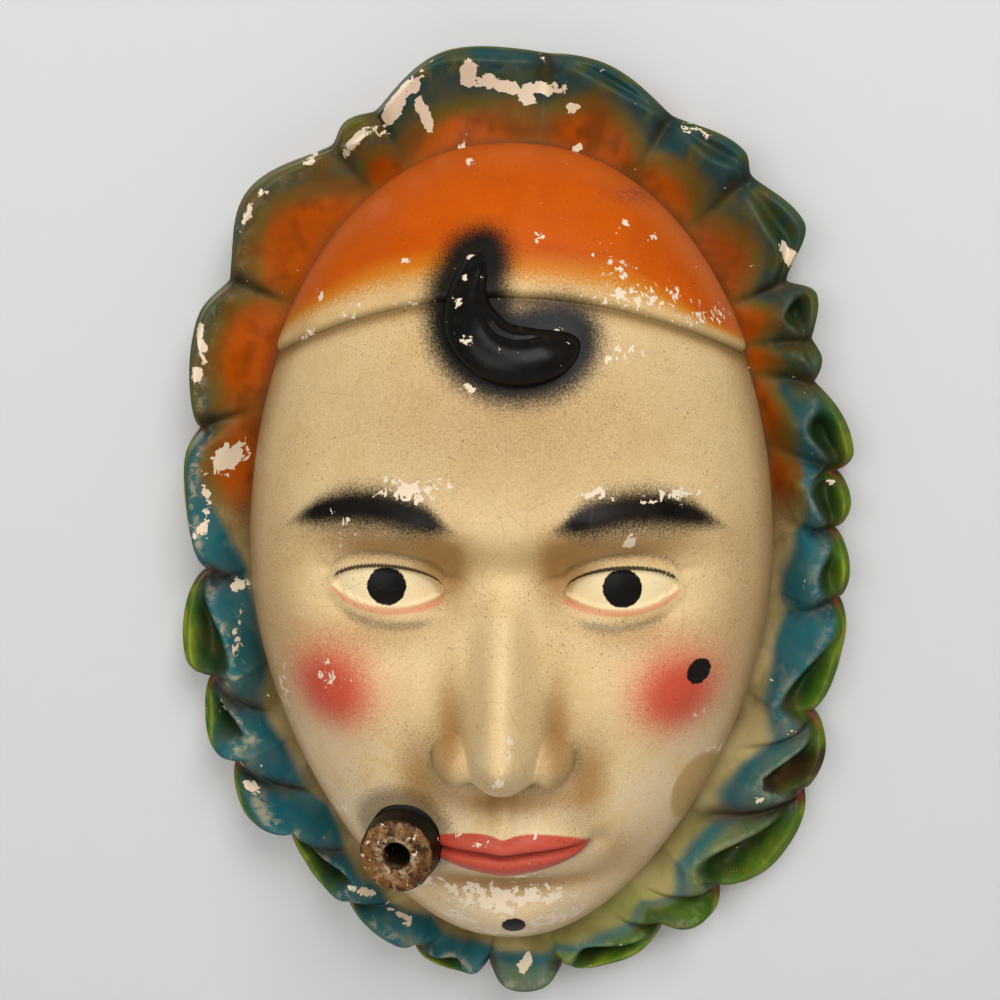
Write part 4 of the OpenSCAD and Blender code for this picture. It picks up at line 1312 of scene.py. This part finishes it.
class WALLMASK_OT_stub(BuildStep, bpy.types.Operator):
    """Build the bored cigar stub"""

    bl_idname = "wall_mask.stub"
    bl_label = "Cigar stub"

    SIDES = 160
    # Radius along the stub and at its end, and how far back its foot lies, in millimetres.
    RADIUS, END, BACK = 9.25, 8.75, 19.0

    def execute(self, context):
        axis = np.array(BORE["axis"], float)
        bore = BORE["dims"]["r_mm"]
        deep = BORE["dims"]["length_mm"]
        mouth = np.array(BORE["pos_m"], float) / MM + axis * deep / 2
        radius, end, back = self.RADIUS, self.END, self.BACK
        profile = [
            (0.0, back), (radius * 0.5, back), (radius, back), (radius, back * 0.7), (radius, back * 0.35),
            (radius - 0.05, 9.0), (radius - 0.1, 6.0), (end + 0.15, 3.0), (end + 0.05, 1.4), (end - 0.1, 0.8),
            (end - 0.4, 0.35), (end - 0.9, 0.06), (end - 1.6, 0.0), (end - 2.6, 0.1), (end - 3.4, 0.25),
            (bore + 1.4, 0.3), (bore + 0.6, 0.32), (bore + 0.2, 0.5), (bore, 0.9), (bore, 4.0), (bore, 9.0),
            (bore, deep - 0.2), (bore - 0.3, deep), (bore * 0.5, deep), (0.0, deep),
        ]
        side = np.radians(right_round(self.SIDES))
        across = np.cross(axis, (0, 0, 1.0))
        across /= np.linalg.norm(across)
        upward = np.cross(across, axis)
        radii, depths = np.array(profile[1:-1]).T
        uneven = 1 + 0.006 * np.sin(side * 3 + 1) + 0.004 * np.sin(side * 7)
        rings = []
        for radial, depth in zip(radii, depths):
            wave = radial * (uneven if radial > bore + 1 else np.ones_like(side))
            ring = mouth - axis * depth + np.outer(np.cos(side) * wave, across)
            rings.append(ring + np.outer(np.sin(side) * wave, upward))
        points, faces = closed_tube(np.stack(rings) * MM)
        piece = new_piece("cigar_stub_turned", points, faces, [self.paint(context)], "cigar_stub")
        inside = ((radii <= bore) & (depths > 1)).astype(float)
        lip = between(radii, bore + 2.6, bore + 1.0) * (depths < 1)
        # Each ring's value goes to all its points, and the last two are the middles of the foot and of the bore.
        store(
            piece,
            side=np.append(np.repeat(between(depths, 0.3, 1.3) * (1 - inside), self.SIDES), [1, 0]),
            bore=np.append(np.repeat(inside, self.SIDES), [0, 1]),
            lip=np.append(np.repeat(lip, self.SIDES), [0, 0]),
        )
        return {"FINISHED"}

    def paint(self, context):
        colours = self.colours(context)
        finish = Finish("stub_paint")
        blotch = finish.noise(3.6, 4.0, 0.65, 0.5)
        smear = finish.noise(2.0, 3.0, 0.6, 0.8, (0.4, 0.1, 0.2))
        fine = finish.noise(0.7, 3.0, 0.6)
        kept = finish.kept
        toned = finish.coats(
            tone(58, 36, 20),
            (blotch.rise(0.38, 0.6), colours.tobacco),
            (smear.rise(0.5, 0.66) * 0.75, tone(158, 124, 84)),
            (kept("lip") * smear.rise(0.4, 0.58) * 0.8, tone(172, 148, 118)),
            (fine.rise(0.56, 0.66) * 0.8, tone(26, 18, 12)),
            (sprayed(kept("side"), fine, 1.6), tone(15, 12, 10)),
            # Painted shade inside the bore.
            (kept("bore") * 0.96, tone(20, 15, 12)),
        )
        worn = (1 - kept("side")) * 0.22 + 0.1
        return painted(
            finish, toned, colours, worn, gloss=0.4, dirt=0.2, chip_mm=1.9, offset=(0.3, 0.7, 0.2), ageing=0.04
        )


class WALLMASK_OT_hanger(BuildStep, bpy.types.Operator):
    """Build the plaster dab, the folded strap and the wire ring"""

    bl_idname = "wall_mask.hanger"
    bl_label = "Hanger"

    # Thickness of the strap's strip and radius of the ring's corners, in millimetres.
    STRIP = 0.8
    CORNER = 3.0

    def execute(self, context):
        self.dab(context)
        self.strap(context)
        self.ring(context)
        return {"FINISHED"}

    def dab(self, context):
        """A mound of plaster: a flat face that rounds over into lumpy sides, deep in the hollow."""
        sides, rows = 150, 60
        radius = (DAB_HIGH[0] - DAB_LOW[0]) / 2
        centre_z = SWING["pos_m"][2] / MM
        face = -DAB_HIGH[1]
        side = np.linspace(0, 2 * np.pi, sides, endpoint=False)[None, :]
        t = np.linspace(0, 1, rows)[:, None]
        flat = 0.52
        round_over = clipped((t - 0.3) / 0.35)
        radial = radius * np.where(t < 0.3, flat * t / 0.3, flat + (0.985 - flat) * np.sin(np.pi / 2 * round_over))
        drop = radius * 0.46 * (1 - np.cos(np.pi / 2 * round_over)) + np.maximum(0, t - 0.65) / 0.35 * 22
        lumps = 0.5 * np.sin(3 * side + 1) + 0.4 * np.sin(5 * side + t * 9) + 0.25 * np.sin(11 * side - t * 14)
        radial = radial * (1 + 0.03 * lumps * ease(t / 0.5))
        depth = face + drop + 0.35 * (1 + np.sin(2 * side + t * 11) * np.sin(4 * side + 2)) * ease(t / 0.25)
        x, z = radial * np.cos(side), centre_z + radial * np.sin(side)
        head = self.head(context)
        r = np.clip(head.share(x, z - FACE_MIDDLE_Z) * 1.09, 0, 0.999)
        shell = head.sizes.hollow_depth * (1 - r**2.2) ** 0.55 + 1.5
        depth = np.minimum(depth, shell)
        rings = np.stack([x, -depth, z], axis=-1)[1:] * MM
        plaster = bare_plaster("dab_plaster", self.colours(context))
        new_piece("dab_mound", *closed_tube(rings), [plaster], "hanger_dab")

    def strap(self, context):
        """A strip carried along a path: up one tail, round the ring's bar and back down the other tail."""
        pivot = np.array(SWING["pos_m"]) / MM
        strip = self.STRIP
        middle = (STRAP_HIGH[2] - STRAP_LOW[2]) / 2 - strip / 2
        meet = math.asin(strip / 2 / middle)
        turn = np.linspace(np.pi - meet, meet - np.pi, 60)
        eye = middle * np.stack([np.cos(turn), np.sin(turn)], axis=-1)
        run = np.linspace(STRAP_LOW[1] - pivot[1], eye[0, 0] - 0.4, 30)
        upper = np.stack([run, np.full_like(run, strip / 2)], axis=-1)
        lower = upper[::-1] * [1, -1]
        path = evened(np.concatenate([upper, eye, lower]), 0.16)
        along = np.gradient(path, axis=0)
        along /= np.linalg.norm(along, axis=1)[:, None]
        across = np.stack([-along[:, 1], along[:, 0]], axis=-1)
        half = (STRAP_HIGH[0] - STRAP_LOW[0]) / 2
        thick = strip / 2 * 0.98
        cut = 0.12
        section = np.array([
            (thick - cut, half), (thick, half - cut), (thick, cut - half), (thick - cut, -half),
            (cut - thick, -half), (-thick, cut - half), (-thick, half - cut), (cut - thick, half),
        ])
        flat = path[:, None] + section[None, :, :1] * across[:, None]
        sideways = np.broadcast_to(section[:, 1], flat.shape[:2])
        rings = np.stack([sideways, pivot[1] + flat[..., 0], pivot[2] + flat[..., 1]], axis=-1) * MM
        piece = new_piece("strap_folded", *closed_tube(rings), [self.brass(context)], "hanger_strap")
        piece.data.set_sharp_from_angle(angle=math.radians(35))

    def ring(self, context):
        """A round wire carried along the closed D: a bar, two corners, two legs and a bow."""
        wire = (RING_HIGH[1] - RING_LOW[1]) / 2
        pivot = np.array(SWING["pos_m"]) / MM
        half = (RING_HIGH[0] - RING_LOW[0]) / 2 - wire
        drop = pivot[2] - RING_LOW[2] - wire
        corner = self.CORNER
        leg = drop - corner - half
        arc = np.radians(np.linspace(0, 90, 14))
        bow = np.radians(np.linspace(0, 180, 60))
        right = np.stack([half - corner + corner * np.sin(arc), -corner + corner * np.cos(arc)], axis=-1)
        legs = np.linspace(-corner, -corner - leg, 6)[1:-1]
        down = np.stack([np.full_like(legs, half), legs], axis=-1)
        under = np.stack([half * np.cos(bow), -corner - leg - half * np.sin(bow)], axis=-1)
        bar = np.stack([np.linspace(-(half - corner), half - corner, 26)[1:-1], np.zeros(24)], axis=-1)
        path = np.concatenate([right, down, under, (down * [-1, 1])[::-1], (right * [-1, 1])[::-1], bar])
        along = np.roll(path, -1, axis=0) - np.roll(path, 1, axis=0)
        along /= np.linalg.norm(along, axis=1)[:, None]
        outward = np.stack([-along[:, 1], along[:, 0]], axis=-1)
        side = np.radians(right_round(24))
        flat = path[:, None, :] + wire * np.cos(side)[None, :, None] * outward[:, None, :]
        depth = np.broadcast_to(wire * np.sin(side)[None, :], flat.shape[:2])
        rings = np.stack([flat[..., 0], pivot[1] + depth, pivot[2] + flat[..., 1]], axis=-1) * MM
        new_piece("ring_wire", rings, [loop_faces(*rings.shape[:2])], [self.steel(context)], "hanger_ring", RING)

    def steel(self, context):
        finish = Finish("ring_steel")
        tarnish = finish.noise(3.0, 4.0, 0.65, 0.4).rise(0.42, 0.68)
        draw = finish.noise(0.4, 2.0, 0.5)
        toned = finish.mix(tarnish * 0.7, self.colours(context).steel, tone(96, 78, 58))
        return finish.surface(
            Base_Color=toned,
            Metallic=0.95,
            Roughness=(0.34 + tarnish * 0.3 + (draw - 0.5) * 0.1),
            Normal=finish.bump(draw, 0.2, 0.05),
        )

    def brass(self, context):
        finish = Finish("strap_brass")
        tarnish = finish.noise(3.6, 4.0, 0.65, 0.4).rise(0.4, 0.7)
        scratch = finish.noise(0.5, 3.0, 0.6)
        toned = finish.mix(tarnish * 0.65, self.colours(context).brass, tone(104, 84, 52))
        return finish.surface(
            Base_Color=toned,
            Metallic=0.9,
            Roughness=(0.36 + tarnish * 0.25 + (scratch - 0.5) * 0.15),
            Normal=finish.bump(scratch, 0.25, 0.06),
        )


class WALLMASK_OT_stage(BuildStep, bpy.types.Operator):
    """Build the pale wall and floor, the soft lights and the camera"""

    bl_idname = "wall_mask.stage"
    bl_label = "Stage"

    # The wall and the floor: how far they reach, the gap behind the mask and the floor's height, in metres.
    REACH = 3.0
    GAP = 0.0006
    FLOOR = -0.55
    # The camera's turn, rise and field of view, in degrees, and its distance, in metres.
    TURN, RISE, FIELD, DISTANCE = 2.5, 10.0, 36.0, 0.371
    # What the camera aims at, in millimetres: x and z from the face's middle, and y.
    AIM = (-1.9, -30.0, 17.3)

    def execute(self, context):
        self.backdrop()
        self.lights(context)
        self.camera(context)
        context.scene.view_settings.view_transform = "Standard"
        return {"FINISHED"}

    def plane(self, name, corners, material):
        mesh = bpy.data.meshes.new(name)
        mesh.from_pydata(corners, [], [(0, 1, 2, 3)])
        mesh.materials.append(material)
        piece = bpy.data.objects.new(name, mesh)
        bpy.context.scene.collection.objects.link(piece)
        return piece

    def backdrop(self):
        """The wall behind the mask, which is clear from behind and lets the back be lit, and a floor."""
        finish, pale = self.pale("pale_wall")
        clear = finish.node("ShaderNodeBsdfTransparent")
        behind = finish.node("ShaderNodeNewGeometry").outputs["Backfacing"]
        both = finish.node("ShaderNodeMixShader", None, {0: behind, 1: pale, 2: clear.outputs[0]})
        finish.tree.links.new(both.outputs[0], finish.output.inputs["Surface"])
        far, gap, low = self.REACH, self.GAP, self.FLOOR
        corners = [(-far, gap, -far), (far, gap, -far), (far, gap, far), (-far, gap, far)]
        wall = self.plane("pale_wall", corners, finish.material)
        for flag in ("visible_diffuse", "visible_glossy", "visible_transmission", "visible_shadow"):
            setattr(wall, flag, False)
        finish, pale = self.pale("pale_floor")
        finish.tree.links.new(pale, finish.output.inputs["Surface"])
        corners = [(-far, -far, low), (far, -far, low), (far, far, low), (-far, far, low)]
        self.plane("pale_floor", corners, finish.material)

    def pale(self, name):
        """A new material's nodes and its plain pale shader."""
        finish = Finish(name)
        return finish, finish.node("ShaderNodeBsdfDiffuse", None, {"Color": (*tone(210, 210, 209), 1)}).outputs[0]

    def lights(self, context):
        world = bpy.data.worlds.new("soft_room")
        world.use_nodes = True
        shade = world.node_tree.nodes["Background"]
        shade.inputs["Color"].default_value = (*tone(238, 238, 238), 1)
        shade.inputs["Strength"].default_value = 0.3
        context.scene.world = world
        for name, place, size, power in (
            ("window", (0.32, -1.0, 0.78), 0.7, 11.8),
            ("room", (-0.4, -1.15, 0.2), 0.8, 5.7),
            ("behind", (-0.5, 0.9, 0.5), 0.9, 5.0),
        ):
            lamp = bpy.data.lights.new(name, "AREA")
            lamp.shape = "SQUARE"
            lamp.size = size
            lamp.energy = power
            piece = bpy.data.objects.new(name, lamp)
            piece.location = place
            towards = -piece.location
            piece.rotation_euler = towards.to_track_quat("-Z", "Y").to_euler()
            context.scene.collection.objects.link(piece)

    def camera(self, context):
        lens = bpy.data.cameras.new("camera")
        lens.sensor_width = 36
        lens.angle = math.radians(self.FIELD)
        piece = bpy.data.objects.new("camera", lens)
        turn, rise = math.radians(self.TURN), math.radians(self.RISE)
        middle = (FACE_LOW + FACE_HIGH) / 2
        aim = np.array([middle[0] + self.AIM[0], self.AIM[1], middle[2] + self.AIM[2]]) * MM
        back = np.array([math.sin(turn) * math.cos(rise), -math.cos(turn) * math.cos(rise), math.sin(rise)])
        piece.location = aim + back * self.DISTANCE
        piece.rotation_euler = (math.pi / 2 - rise, 0, turn)
        context.scene.collection.objects.link(piece)
        context.scene.camera = piece


class WALLMASK_PT_panel(bpy.types.Panel):
    """The mask's sizes, colours and build steps"""

    bl_idname = "WALLMASK_PT_panel"
    bl_label = "Wall Mask"
    bl_space_type = "VIEW_3D"
    bl_region_type = "UI"
    bl_category = "Wall Mask"

    def draw(self, context):
        for group in (context.scene.wall_mask_sizes, context.scene.wall_mask_colours):
            column = self.layout.column(align=True)
            for name in group.__annotations__:
                column.prop(group, name)
        for step in STEPS:
            self.layout.operator(step.bl_idname)


STEPS = (
    WALLMASK_OT_stage,
    WALLMASK_OT_face,
    WALLMASK_OT_cap,
    WALLMASK_OT_forelock,
    WALLMASK_OT_ruff,
    WALLMASK_OT_stub,
    WALLMASK_OT_hanger,
)
CLASSES = (WallMaskSizes, WallMaskColours, *STEPS, WALLMASK_PT_panel)


def register():
    for item in CLASSES:
        bpy.utils.register_class(item)
    bpy.types.Scene.wall_mask_sizes = bpy.props.PointerProperty(type=WallMaskSizes)
    bpy.types.Scene.wall_mask_colours = bpy.props.PointerProperty(type=WallMaskColours)


def unregister():
    del bpy.types.Scene.wall_mask_colours
    del bpy.types.Scene.wall_mask_sizes
    for item in reversed(CLASSES):
        bpy.utils.unregister_class(item)


def main():
    register()
    for step in STEPS:
        group, name = step.bl_idname.split(".")
        getattr(getattr(bpy.ops, group), name)()


if __name__ == "__main__":
    main()
